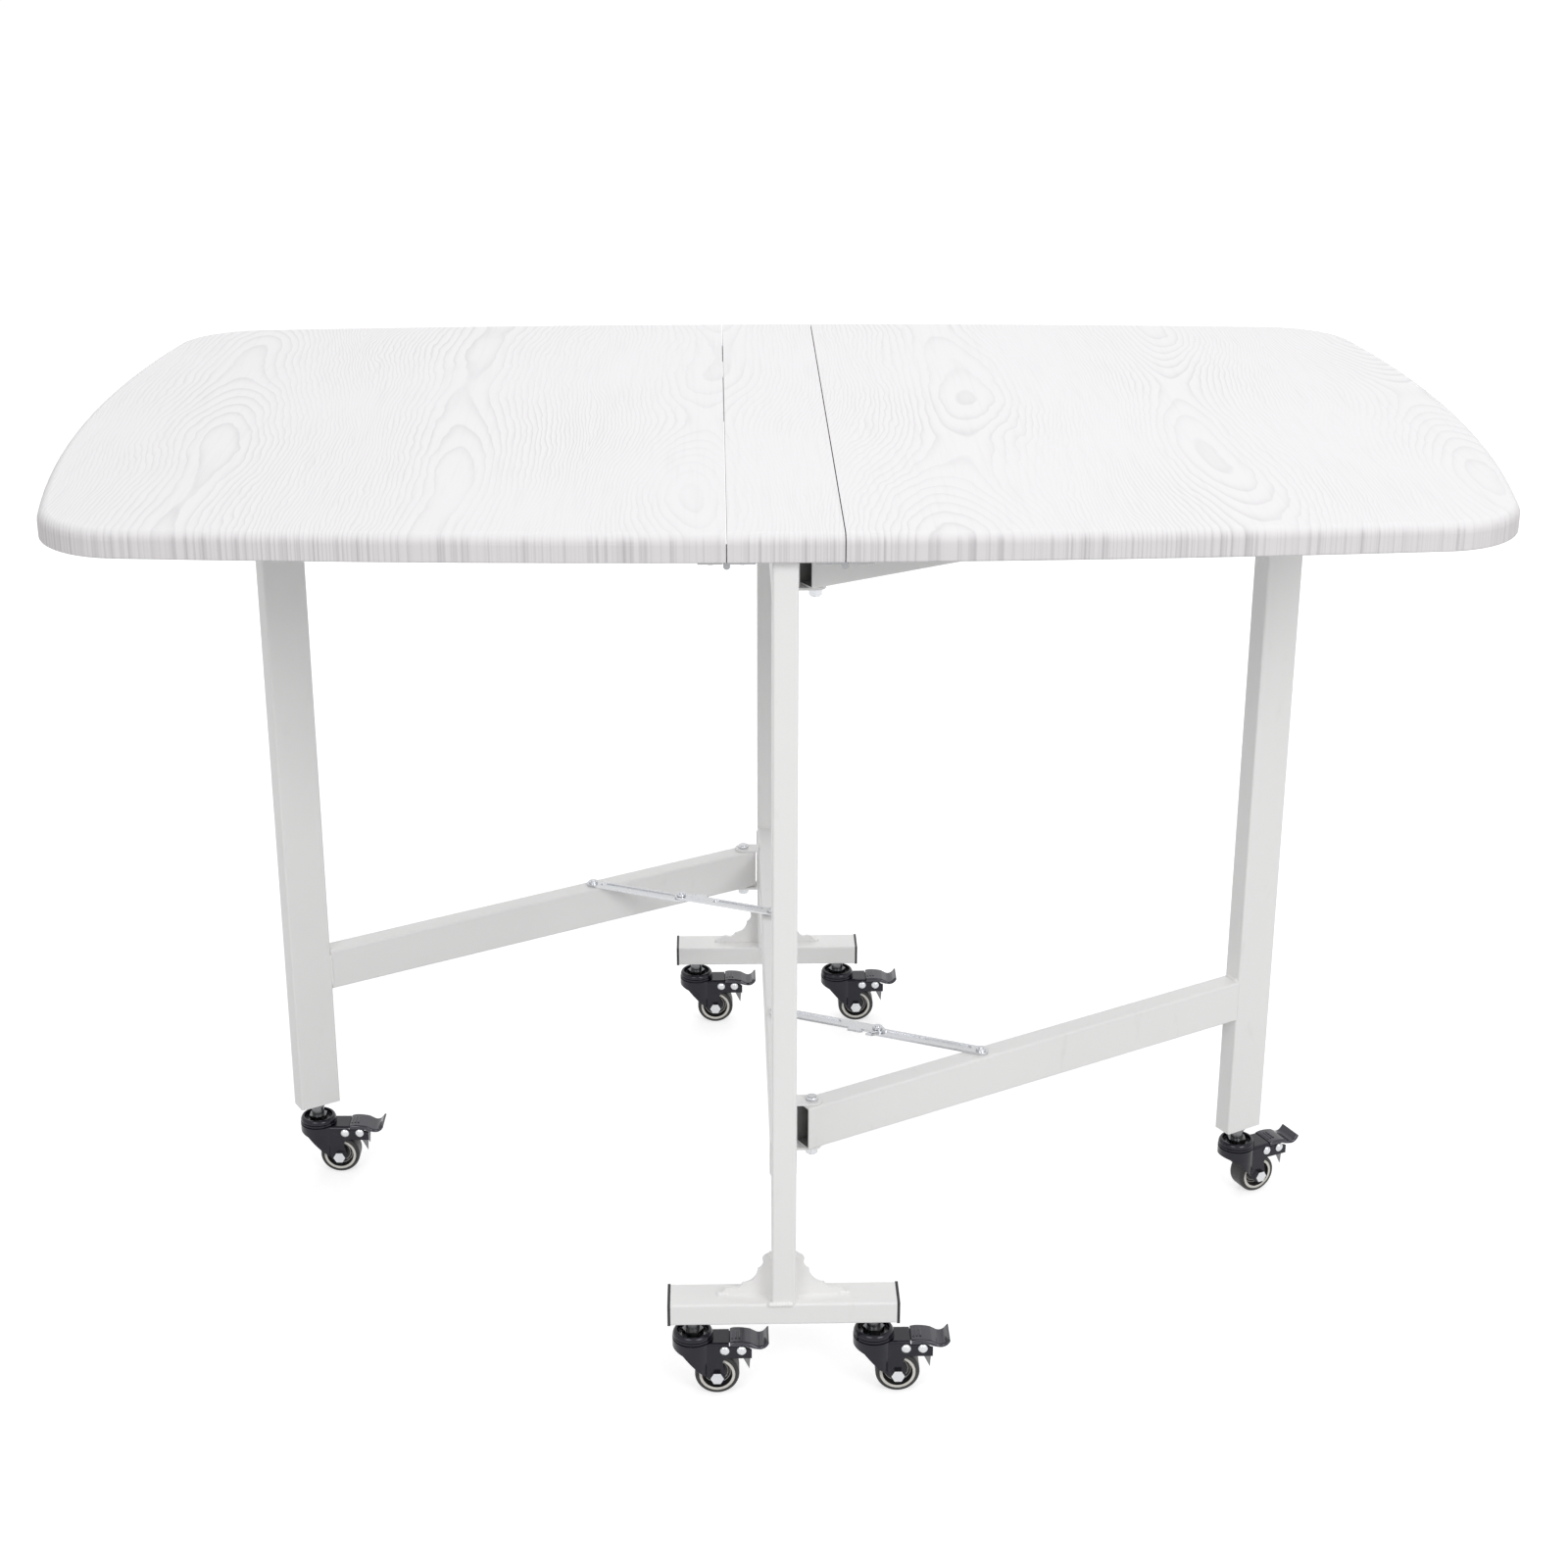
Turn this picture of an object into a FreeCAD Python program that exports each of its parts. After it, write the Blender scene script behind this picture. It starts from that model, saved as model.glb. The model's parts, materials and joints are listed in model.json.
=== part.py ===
"""Fold-down table on casters: a fixed centre strip on a welded frame, two hinged leaves,
and two gate legs that swing out under the leaves and are held by folding stays.

Frame of the part: X along the length, Y to the back, Z up, in millimetres. The origin is
on the floor under the middle of the top. The left side is the right side turned half round.
"""
import FreeCAD, Part
import Sketcher
import math
import os
import re

from FreeCAD import Placement, Rotation, Vector

SIZES = {
    # Top
    "top_height": 766,
    "top_length": 1200,
    "top_width": 760,
    "top_thickness": 22,
    "top_end_bow": 1720,
    "top_side_bow": 6250,
    "top_corner": 78,
    "top_rounding": 8,
    "top_under_rounding": 1.5,
    "strip_width": 88.2,
    "seam_gap": 0.8,
    # Steel tube of the frame and the gates
    "tube_thick": 20,
    "tube_high": 40,
    "tube_wall": 1.5,
    "tube_corner": 2,
    "post_depth": 34,
    "post_spread": 705.2,
    "stretcher_height": 234,
    "foot_length": 196,
    "foot_high": 20,
    "foot_cap": 2.5,
    "cap_plug": 8,
    "gusset_reach": 43,
    "gusset_rise": 39,
    "gusset_steel": 3,
    # Gates
    "gate_angle": 60,
    "gate_pivot_across": 26,
    "gate_pivot_along": 276,
    "gate_reach": 485,
    "gate_heel": 9,
    "gate_drop": 9,
    "leg_end_plate": 3,
    "bracket_steel": 2,
    "bracket_width": 17,
    "pivot_bolt": 6,
    "bolt_head": 10.5,
    "bolt_head_high": 3.3,
    "bolt_nut": 10.5,
    "bolt_nut_high": 5,
    "bolt_nut_collar": 8.6,
    "bolt_nut_collar_high": 1.5,
    "glide_across": 16,
    "glide_cap": 3,
    # Folding stays
    "stay_rivet_along": 109.4,
    "stay_reach": 176.5,
    "stay_width": 13,
    "stay_steel": 2,
    "stay_groove": 8,
    "stay_groove_deep": 1,
    "stay_lug": 4,
    "stay_lug_long": 12,
    "rivet": 5,
    "rivet_head": 9,
    "rivet_head_high": 2,
    "rivet_crown_high": 3,
    # Hinges
    "hinge_long": 50,
    "hinge_inset": 3,
    "hinge_plate": 22,
    "hinge_steel": 1.6,
    "knuckle": 5.4,
    "hinge_pin": 3,
    "hinge_screw": 3.5,
    "hinge_screw_head": 7,
    "hinge_screw_depth": 12,
    "top_screw": 5,
    "top_screw_head": 10,
    "top_screw_depth": 14,
    # Casters
    "caster_height": 72.5,
    "caster_spread": 154,
    "left_caster_turn": -1,
    "right_caster_turn": 25,
    "wheel_across": 38,
    "wheel_width": 20,
    "wheel_rim": 31,
    "wheel_dish": 26,
    "wheel_boss": 13,
    "wheel_web": 8,
    "tyre_shoulder": 3,
    "caster_trail": 20.5,
    "cheek_gap": 1,
    "fork_steel": 2,
    "fork_height": 51,
    "fork_nose": 35,
    "fork_lobe": 14,
    "fork_bend": 3,
    "skirt_deep": 7,
    "throat_along": 8.5,
    "throat_deep": 10,
    "neck_along": 4.5,
    "neck_deep": 18,
    "arm_under": 37,
    "arm_plate_end": 30.8,
    "arm_step": 3,
    "arm_end": 50,
    "ring_across": 35.2,
    "ring_high": 7.8,
    "ring_bead": 2.8,
    "ring_crown": 5,
    "ring_opening": 25.6,
    "ring_seam": 0.8,
    "swivel_stem": 10,
    "stem_neck": 12,
    "stem_flange": 2.5,
    "stem_nut": 16,
    "stem_nut_high": 6,
    "axle": 6,
    "axle_head": 10,
    "axle_head_high": 3.5,
    "brake_rivet": 4,
    "brake_rivet_head": 8,
    "brake_rivet_head_high": 3,
    "brake_rivet_dome": 1.8,
    "brake_rivet_near": 27,
    "brake_rivet_far": 41.3,
    "brake_rivet_height": 45,
    "pedal_reach": 23.3,
    "pedal_round": 2,
    "pedal_ear": 8,
    "pedal_rib": 1.6,
    "pedal_rib_long": 12,
    "shoe_width": 10,
    "spring_width": 16,
    "spring_steel": 1.2,
    "spring_point": 13.5,
    # Clearances
    "pin_play": 0.05,
    "side_play": 0.3,
    "overrun": 5,
}

# The gusset's scalloped edge, from the post to its toe, in shares of its reach and rise
GUSSET_SHARES = (
    (0, 0), (0, 1), (0.07, 1), (0.18, 0.88), (0.27, 0.63), (0.28, 0.55),
    (0.57, 0.29), (0.72, 0.17), (0.96, 0.10), (1, 0),
)
# Radii of the scallops in shares of the reach: a plus sign bulges out of the plate
GUSSET_BULGE_SHARES = {2: 0.16, 3: -0.17, 5: -0.3, 6: -0.14, 7: 0.2}

# Where the grooves of a folding stay's links stop and start, in shares of the link
GROOVE_END_SHARE = 0.6
GROOVE_START_SHARE = 0.1

# The brake pedal from the side, in shares of its reach from the rivet that it turns on:
# the top of its plate from the heel to the toe, the way back under it, the plate's arcs,
# the shoe and the three ribs
PEDAL_TOP_SHARES = (
    (-0.42, 0.28), (-0.185, 0.322), (0.33, 0.258), (0.5, 0.165), (0.845, 0.215),
    (0.931, 0.322),
)
PEDAL_UNDER_SHARES = ((1, 0.27), (0.652, 0.021), (0.202, 0.142), (-0.42, 0.15))
PEDAL_BULGE_SHARES = {0: 0.6, 1: 1.87, 3: -0.252, 5: 0.046, 6: 0.362, 7: 1.36}
SHOE_SHARES = ((-0.24, 0.2), (-0.14, 0.2), (-0.15, -0.53), (-0.253, -0.53))
RIB_SHARES = ((-0.335, 0.3), (-0.206, 0.318), (-0.077, 0.322))
EAR_TOP_SHARE = 0.2
HEEL_UNDER_SHARE = 0.142

# Where the hinges' screws stand across a plate, and the top's along the upper rail
HINGE_SCREW_SHARE = 0.55
TOP_SCREW_SHARES = (-0.72, -0.24, 0.24, 0.72)

# Two places nearer than this count as one
NEAR = 1e-4

doc = FreeCAD.newDocument("FoldDownTable")
sheet = doc.addObject("Spreadsheet::Sheet", "Sizes")
for row, (alias, value) in enumerate(SIZES.items(), start=1):
    sheet.set(f"A{row}", str(value))
    sheet.setAlias(f"A{row}", alias)
doc.recompute()

WORD = re.compile(r"[a-z][a-z_]*")
nodes = []


def bound(text):
    """An expression in which each size's name points at its cell."""
    def cell(match):
        word = match.group()
        return f"Sizes.{word}" if word in SIZES else word
    return WORD.sub(cell, str(text))


def number(text):
    """The present value of an expression in the named sizes."""
    value = sheet.evalExpression(bound(text))
    return float(getattr(value, "Value", value))


def bind(target, **properties):
    for name, text in properties.items():
        target.setExpression(name, bound(text))


def place(target, x=0, y=0, z=0, turn=None):
    """Put an object at a place and turn it about Z, all bound to the sheet."""
    target.Placement = Placement(Vector(), Rotation(Vector(0, 0, 1), 0))
    for axis, text in (("x", x), ("y", y), ("z", z)):
        target.setExpression(f"Placement.Base.{axis}", bound(text))
    if turn is not None:
        start = Rotation(Vector(0, 0, 1), number(turn))
        target.Placement = Placement(target.Placement.Base, start)
        target.setExpression("Placement.Rotation.Angle", bound(turn))
        for axis, share in (("x", 0), ("y", 0), ("z", 1)):
            target.setExpression(f"Placement.Rotation.Axis.{axis}", str(share))


def node(target, label):
    """Name a finished sub-part and list it for writing."""
    target.Label = label
    nodes.append(target)
    return target


def body(name):
    return doc.addObject("PartDesign::Body", name)


def sketch_on(owner, plane, lift=0):
    """An empty sketch on one of the body's own origin planes, lifted along its normal."""
    sketch = owner.newObject("Sketcher::SketchObject", f"{owner.Name}_sketch")
    role = f"{plane}_Plane"
    support = [part for part in owner.Origin.OriginFeatures if part.Role == role][0]
    sketch.AttachmentSupport = [(support, "")]
    sketch.MapMode = "FlatFace"
    sketch.setExpression("AttachmentOffset.Base.z", bound(lift))
    return sketch


def pin_point(sketch, edge, end, x, y):
    """Hold one point of a sketch at two bound distances from the origin."""
    for kind, text in (("DistanceX", x), ("DistanceY", y)):
        value = number(text)
        index = sketch.addConstraint(Sketcher.Constraint(kind, -1, 1, edge, end, value))
        sketch.setExpression(f"Constraints[{index}]", bound(text))


def draw(sketch, points, bulges=None):
    """A closed outline through the points. A bulge makes an edge an arc: a plus radius
    bows to the left of the way round, a minus radius to the right."""
    bulges = bulges or {}
    spots = [Vector(number(x), number(y), 0) for x, y in points]
    count = len(spots)
    edges = []
    for index, start in enumerate(spots):
        end = spots[(index + 1) % count]
        if index not in bulges:
            edges.append((sketch.addGeometry(Part.LineSegment(start, end)), 1, 2))
            continue
        radius = number(bulges[index])
        chord = end - start
        half = chord.Length / 2
        side = Vector(-chord.y, chord.x, 0).normalize() * math.copysign(1, radius)
        sagitta = abs(radius) - math.sqrt(radius ** 2 - half ** 2)
        crown = (start + end) / 2 + side * sagitta
        edge = sketch.addGeometry(Part.ArcOfCircle(start, crown, end))
        forward = sketch.getPoint(edge, 1).distanceToPoint(start) < half
        edges.append((edge, 1, 2) if forward else (edge, 2, 1))
        size = sketch.addConstraint(Sketcher.Constraint("Radius", edge, abs(radius)))
        sketch.setExpression(f"Constraints[{size}]", bound(f"abs({bulges[index]})"))
    for index, (edge, first, last) in enumerate(edges):
        following, next_first, _ = edges[(index + 1) % count]
        sketch.addConstraint(
            Sketcher.Constraint("Coincident", edge, last, following, next_first))
        pin_point(sketch, edge, first, *points[index])
    return sketch


def circle(sketch, x, y, across):
    """A full circle of a bound diameter."""
    ring = Part.Circle(Vector(number(x), number(y), 0), Vector(0, 0, 1), number(across) / 2)
    edge = sketch.addGeometry(ring)
    pin_point(sketch, edge, 3, x, y)
    size = sketch.addConstraint(Sketcher.Constraint("Diameter", edge, number(across)))
    sketch.setExpression(f"Constraints[{size}]", bound(across))
    return sketch


def hexagon(sketch, x, y, flats):
    """A hexagon of a bound width across its flats, with two flats level."""
    corners = []
    for step in range(6):
        angle = 60 * step
        corners.append((f"{x} + ({flats}) / 2 / cos(30) * cos({angle})",
                        f"{y} + ({flats}) / 2 / cos(30) * sin({angle})"))
    return draw(sketch, corners)


def rectangle(sketch, left, front, right, back):
    return draw(sketch, ((left, front), (right, front), (right, back), (left, back)))


def pad(owner, sketch, length, middle=False, flip=False):
    feature = owner.newObject("PartDesign::Pad", f"{owner.Name}_pad")
    feature.Profile = sketch
    feature.Midplane = middle
    feature.Reversed = flip
    bind(feature, Length=length)
    doc.recompute()
    return feature


def pocket(owner, sketch, length, middle=False, flip=False):
    """Cut a sketch out of the body and make sure that it takes something away."""
    before = owner.Shape.Volume
    feature = owner.newObject("PartDesign::Pocket", f"{owner.Name}_pocket")
    feature.Profile = sketch
    feature.Midplane = middle
    feature.Reversed = flip
    bind(feature, Length=length)
    doc.recompute()
    if not owner.Shape.Volume < before:
        raise ValueError(f"{feature.Name} cuts nothing")
    return feature


def revolve(owner, sketch, axis):
    feature = owner.newObject("PartDesign::Revolution", f"{owner.Name}_turned")
    feature.Profile = sketch
    feature.ReferenceAxis = (sketch, [axis])
    feature.Angle = 360
    doc.recompute()
    return feature


def fillet(owner, radius, wanted):
    """Round the edges of the body's tip for which wanted(edge) holds."""
    tip = owner.Tip
    names = [f"Edge{index}" for index, edge in enumerate(tip.Shape.Edges, start=1)
             if wanted(edge)]
    feature = owner.newObject("PartDesign::Fillet", f"{owner.Name}_fillet")
    feature.Base = (tip, names)
    bind(feature, Radius=radius)
    doc.recompute()
    return feature


def upright(edge):
    """True for a straight edge along Z."""
    if len(edge.Vertexes) < 2:
        return False
    way = edge.Vertexes[1].Point - edge.Vertexes[0].Point
    return abs(way.x) < NEAR and abs(way.y) < NEAR < abs(way.z)


def box(name, size, corner):
    shape = doc.addObject("Part::Box", name)
    bind(shape, Length=size[0], Width=size[1], Height=size[2])
    place(shape, *corner)
    return shape


def rod(name, across, length, foot, tilt=None):
    """A round bar of a given diameter, upright or laid along X or Y."""
    shape = doc.addObject("Part::Cylinder", name)
    bind(shape, Radius=f"({across}) / 2", Height=length)
    place(shape, *foot)
    ways = {"x": Rotation(Vector(0, 1, 0), 90), "y": Rotation(Vector(1, 0, 0), -90)}
    if tilt:
        shape.Placement = Placement(shape.Placement.Base, ways[tilt])
    return shape


def cut(name, base, *tools):
    result = doc.addObject("Part::Cut", name)
    result.Base = base
    result.Tool = tools[0] if len(tools) == 1 else fuse(f"{name}_tools", *tools)
    return result


def fuse(name, *shapes):
    result = doc.addObject("Part::MultiFuse", name)
    result.Shapes = list(shapes)
    return result


def group(name, *shapes):
    """Several separate solids that share one node."""
    result = doc.addObject("Part::Compound", name)
    result.Links = list(shapes)
    return result


UNDERSIDE = "(top_height - top_thickness)"
FOOT_TOP = "(caster_height + foot_high)"
POST_Y = "(post_spread / 2)"
POST_FACE = "(post_spread / 2 - post_depth / 2)"
LOWER_RAIL = "(stretcher_height - tube_high)"
UPPER_RAIL = f"({UNDERSIDE} - tube_high)"
GATE_TOP = f"({UNDERSIDE} - gate_drop)"
SEAM = "(strip_width / 2 + seam_gap / 2)"
HINGE_Y = "(top_width / 2 - hinge_inset - hinge_long / 2)"
LEAF_EDGE = "(strip_width / 2 + seam_gap)"
SIDES = {"right": 1, "left": -1}
ENDS = {"front": -1, "rear": 1}


def half_turn(side):
    """The left side is the right side turned half round about Z."""
    return "0" if SIDES[side] > 0 else "180"


# Top


def bowed_outline(sketch, left, right=None):
    """The top's outline between two lines along Y: bowed front and back edges, and a bowed
    end where no right line is given."""
    bow = number("top_side_bow")
    half = number("top_width / 2")
    start = number(left)
    reach = number("top_length / 2")
    end_bow = number("top_end_bow")
    stop = number(right) if right else reach

    def bow_y(x):
        return half - bow + math.sqrt(bow ** 2 - x ** 2)

    if not right:
        for _ in range(20):
            stop = reach - end_bow + math.sqrt(end_bow ** 2 - bow_y(stop) ** 2)
    corners = [Vector(start, -bow_y(start), 0), Vector(stop, -bow_y(stop), 0),
               Vector(stop, bow_y(stop), 0), Vector(start, bow_y(start), 0)]
    middle = (start + stop) / 2
    front = sketch.addGeometry(
        Part.ArcOfCircle(corners[0], Vector(middle, -bow_y(middle), 0), corners[1]))
    if right:
        end = sketch.addGeometry(Part.LineSegment(corners[1], corners[2]))
    else:
        end = sketch.addGeometry(Part.ArcOfCircle(corners[1], Vector(reach, 0, 0), corners[2]))
    back = sketch.addGeometry(
        Part.ArcOfCircle(corners[2], Vector(middle, bow_y(middle), 0), corners[3]))
    inner = sketch.addGeometry(Part.LineSegment(corners[3], corners[0]))
    order = ((front, corners[0]), (end, corners[1]), (back, corners[2]), (inner, corners[3]))
    ends = []
    for edge, start_point in order:
        near = sketch.getPoint(edge, 1).distanceToPoint(start_point)
        far = sketch.getPoint(edge, 2).distanceToPoint(start_point)
        ends.append((edge, 1, 2) if near < far else (edge, 2, 1))
    for index, (edge, _, last) in enumerate(ends):
        following, first, _ = ends[(index + 1) % len(ends)]
        sketch.addConstraint(Sketcher.Constraint("Coincident", edge, last, following, first))
    for edge, way in ((front, 1), (back, -1)):
        centre = f"{way} * (top_side_bow - top_width / 2)"
        pin_point(sketch, edge, 3, "0", centre)
        size = sketch.addConstraint(Sketcher.Constraint("Radius", edge, bow))
        sketch.setExpression(f"Constraints[{size}]", bound("top_side_bow"))
    if not right:
        pin_point(sketch, end, 3, "top_length / 2 - top_end_bow", "0")
        size = sketch.addConstraint(Sketcher.Constraint("Radius", end, end_bow))
        sketch.setExpression(f"Constraints[{size}]", bound("top_end_bow"))
    lines = [(inner, left)] + ([(end, right)] if right else [])
    for edge, text in lines:
        for point in (1, 2):
            index = sketch.addConstraint(
                Sketcher.Constraint("DistanceX", -1, 1, edge, point, number(text)))
            sketch.setExpression(f"Constraints[{index}]", bound(text))


def rim(level, sides):
    """A test for the outer edges of a panel at one level, off the seams."""
    height = number(level)

    def wanted(edge):
        low, high = edge.BoundBox.ZMin, edge.BoundBox.ZMax
        flat = abs(low - height) < NEAR and abs(high - height) < NEAR
        seam = edge.BoundBox.XLength < NEAR and any(
            abs(edge.BoundBox.XMin - side) < NEAR for side in sides)
        return flat and not seam
    return wanted


def panel(name, left, right=None):
    owner = body(name)
    outline = sketch_on(owner, "XY", UNDERSIDE)
    bowed_outline(outline, left, right)
    pad(owner, outline, "top_thickness")
    seams = [number(left)] + ([number(right)] if right else [])
    if not right:
        fillet(owner, "top_corner",
               lambda edge: upright(edge) and edge.BoundBox.XMin > number("strip_width"))
    fillet(owner, "top_rounding", rim("top_height", seams))
    fillet(owner, "top_under_rounding", rim(UNDERSIDE, seams))
    return owner


def bores_up(owner, spots, across, bottom, length):
    """Round holes of one kind along Z from a given level upwards."""
    outline = sketch_on(owner, "XY", bottom)
    for x, y in spots:
        circle(outline, x, y, across)
    pocket(owner, outline, length, flip=True)


def screw_holes(owner, kind, spots):
    """Blind holes in a board's underside for wood screws of one kind."""
    bores_up(owner, spots, f"{kind} + 2 * pin_play", f"{UNDERSIDE} - overrun",
             f"{kind}_depth + side_play + overrun")


def wood_screw(name, kind, spot, seat):
    """A wood screw from below: its head under a seat, its shank up into the board."""
    head = rod(f"{name}_head", f"{kind}_head", f"{kind} / 2", (*spot, f"{seat} - {kind} / 2"))
    shank = rod(f"{name}_shank", kind, f"{UNDERSIDE} + {kind}_depth - {seat}", (*spot, seat))
    return fuse(name, head, shank)


def hinge_screw_spots(way):
    """Where the screws of one hinge half stand: two in each plate."""
    across = f"{SEAM} + {way} * {HINGE_SCREW_SHARE} * hinge_plate"
    return [(across, f"{sign} * {HINGE_Y} + {step} * hinge_long / 3")
            for sign in ENDS.values() for step in (-1, 1)]


def top_screw_spots():
    return [("0", f"{share} * {POST_FACE}") for share in TOP_SCREW_SHARES]


def make_top():
    centre = panel("CentrePanel", "-strip_width / 2", "strip_width / 2")
    near = hinge_screw_spots(-1)
    screw_holes(centre, "hinge_screw", near + [(f"-({x})", y) for x, y in near])
    screw_holes(centre, "top_screw", top_screw_spots())
    node(centre, "centre_panel")
    for side in SIDES:
        leaf = panel(f"{side}Leaf", LEAF_EDGE)
        screw_holes(leaf, "hinge_screw", hinge_screw_spots(1))
        place(leaf, turn=half_turn(side))
        node(leaf, f"{side}_leaf")


# Hinges under the seams


def hinge_half(name, way, knuckles):
    """One half of each hinge of a seam: a plate with its screws and its share of five
    knuckles. way is 1 for the leaf's half and -1 for the centre strip's."""
    pieces = []
    for end, sign in ENDS.items():
        centre = f"{sign} * {HINGE_Y}"
        near = f"{SEAM} + {way} * (knuckle / 2 + side_play)"
        far = f"{SEAM} + {way} * hinge_plate"
        left, right = (near, far) if way > 0 else (far, near)
        plate = box(f"{name}_{end}_plate",
                    (f"({right}) - ({left})", "hinge_long", "hinge_steel"),
                    (left, f"{centre} - hinge_long / 2", f"{UNDERSIDE} - hinge_steel"))
        pieces.append(plate)
        for step in knuckles:
            start = f"{centre} - hinge_long / 2 + {step} * hinge_long / 5 + side_play / 2"
            height = f"{UNDERSIDE} - side_play - knuckle / 2"
            barrel = rod(f"{name}_{end}_knuckle{step}", "knuckle",
                         "hinge_long / 5 - side_play", (SEAM, start, height), "y")
            tab_left = SEAM if way > 0 else near
            tab = box(f"{name}_{end}_tab{step}",
                      (f"{way} * (({near}) - ({SEAM}))", "hinge_long / 5 - side_play",
                       "hinge_steel - side_play"),
                      (tab_left, start, f"{UNDERSIDE} - hinge_steel"))
            pieces += [barrel, tab]
    whole = fuse(f"{name}_whole", *pieces)
    bores = [rod(f"{name}_{end}_bore", "hinge_pin + 2 * pin_play",
                 "hinge_long + 2 * overrun",
                 (SEAM, f"{sign} * {HINGE_Y} - hinge_long / 2 - overrun",
                  f"{UNDERSIDE} - side_play - knuckle / 2"), "y")
             for end, sign in ENDS.items()]
    holes = [rod(f"{name}_hole{index}", "hinge_screw + 2 * pin_play",
                 "hinge_steel + 2 * overrun", (*spot, f"{UNDERSIDE} - hinge_steel - overrun"))
             for index, spot in enumerate(hinge_screw_spots(way))]
    screws = [wood_screw(f"{name}_screw{index}", "hinge_screw", spot,
                         f"({UNDERSIDE} - hinge_steel)")
              for index, spot in enumerate(hinge_screw_spots(way))]
    return group(f"{name}_set", cut(name, whole, *bores, *holes), *screws)


def make_hinges():
    halves = []
    for side in SIDES:
        half = hinge_half(f"{side}_strip_hinge", -1, (0, 2, 4))
        place(half, turn=half_turn(side))
        pins = group(f"{side}_hinge_pins", *[
            rod(f"{side}_{end}_hinge_pin", "hinge_pin", "hinge_long",
                (SEAM, f"{sign} * {HINGE_Y} - hinge_long / 2",
                 f"{UNDERSIDE} - side_play - knuckle / 2"), "y")
            for end, sign in ENDS.items()])
        place(pins, turn=half_turn(side))
        halves += [half, pins]
        leaf = hinge_half(f"{side}_leaf_hinge", 1, (1, 3))
        place(leaf, turn=half_turn(side))
        node(leaf, f"{side}_leaf_hinges")
    node(group("strip_hinges", *halves), "centre_strip_hinges")


# Frame


def tube(name, plane, across, up, length, lift=0, centre=("0", "0"), flip=False):
    """A rectangular steel tube with rounded outer corners, drawn across its section."""
    owner = body(name)
    outline = sketch_on(owner, plane, lift)
    x, y = centre
    for inset in ("0", "tube_wall"):
        rectangle(outline, f"{x} - ({across}) / 2 + {inset}", f"{y} - ({up}) / 2 + {inset}",
                  f"{x} + ({across}) / 2 - {inset}", f"{y} + ({up}) / 2 - {inset}")
    feature = pad(owner, outline, length, flip=flip)
    faces = feature.Shape.BoundBox
    run = max(edge.Length for edge in feature.Shape.Edges)
    sides = {"XY": ("XMin", "XMax", "YMin", "YMax"), "XZ": ("XMin", "XMax", "ZMin", "ZMax"),
             "YZ": ("YMin", "YMax", "ZMin", "ZMax")}[plane]

    def outer(edge):
        along = abs(edge.Length - run) < NEAR
        flush = [abs(getattr(edge.BoundBox, name) - getattr(faces, name)) < NEAR
                 for name in sides]
        return along and any(flush[:2]) and any(flush[2:])
    fillet(owner, "tube_corner", outer)
    return owner


def bore_up(owner, x, y, across, bottom, length):
    """A round hole along Z from a given level upwards."""
    bores_up(owner, [(x, y)], across, bottom, length)


def make_posts():
    for end, sign in ENDS.items():
        post = tube(f"{end}Post", "XY", "tube_thick", "post_depth",
                    f"{UNDERSIDE} - {FOOT_TOP}", FOOT_TOP)
        place(post, y=f"{sign} * {POST_Y}")
        node(post, f"{end}_post")


def make_rails():
    for name, level in (("lower_stretcher", LOWER_RAIL), ("upper_rail", UPPER_RAIL)):
        rail = tube(name.title().replace("_", ""), "XZ", "tube_thick", "tube_high",
                    f"2 * {POST_FACE}", f"-{POST_FACE}", ("0", f"{level} + tube_high / 2"))
        if name == "lower_stretcher":
            for sign in ENDS.values():
                bore_up(rail, "0", f"{sign} * stay_rivet_along", "rivet + 2 * pin_play",
                        "stretcher_height - tube_wall - overrun", "tube_wall + 2 * overrun")
        else:
            bores_up(rail, top_screw_spots(), "top_screw + 2 * pin_play",
                     f"{UPPER_RAIL} - overrun", "tube_high + 2 * overrun")
        node(rail, name)


def make_feet():
    for end, sign in ENDS.items():
        bar = tube(f"{end}Foot", "YZ", "post_depth", "foot_high",
                   "foot_length - 2 * foot_cap", "foot_cap - foot_length / 2",
                   ("0", "caster_height + foot_high / 2"))
        for side in SIDES.values():
            bore_up(bar, f"{side} * caster_spread / 2", "0", "swivel_stem + 2 * pin_play",
                    "caster_height - overrun", "tube_wall + 2 * overrun")
        place(bar, y=f"{sign} * {POST_Y}")
        node(bar, f"{end}_foot_bar")


def make_foot_caps():
    caps = []
    for end, sign in ENDS.items():
        for side, way in SIDES.items():
            plate = box(f"{end}_{side}_cap_plate", ("foot_cap", "post_depth", "foot_high"),
                        ("foot_length / 2 - foot_cap", "-post_depth / 2", "caster_height"))
            plug = box(f"{end}_{side}_cap_plug",
                       ("cap_plug", "post_depth - 2 * tube_wall - 2 * pin_play",
                        "foot_high - 2 * tube_wall - 2 * pin_play"),
                       ("foot_length / 2 - foot_cap - cap_plug",
                        "-post_depth / 2 + tube_wall + pin_play",
                        "caster_height + tube_wall + pin_play"))
            cap = fuse(f"{end}_{side}_cap", plate, plug)
            place(cap, y=f"{sign} * {POST_Y}", turn="0" if way > 0 else "180")
            caps.append(cap)
    node(group("foot_caps", *caps), "foot_end_caps")


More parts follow.
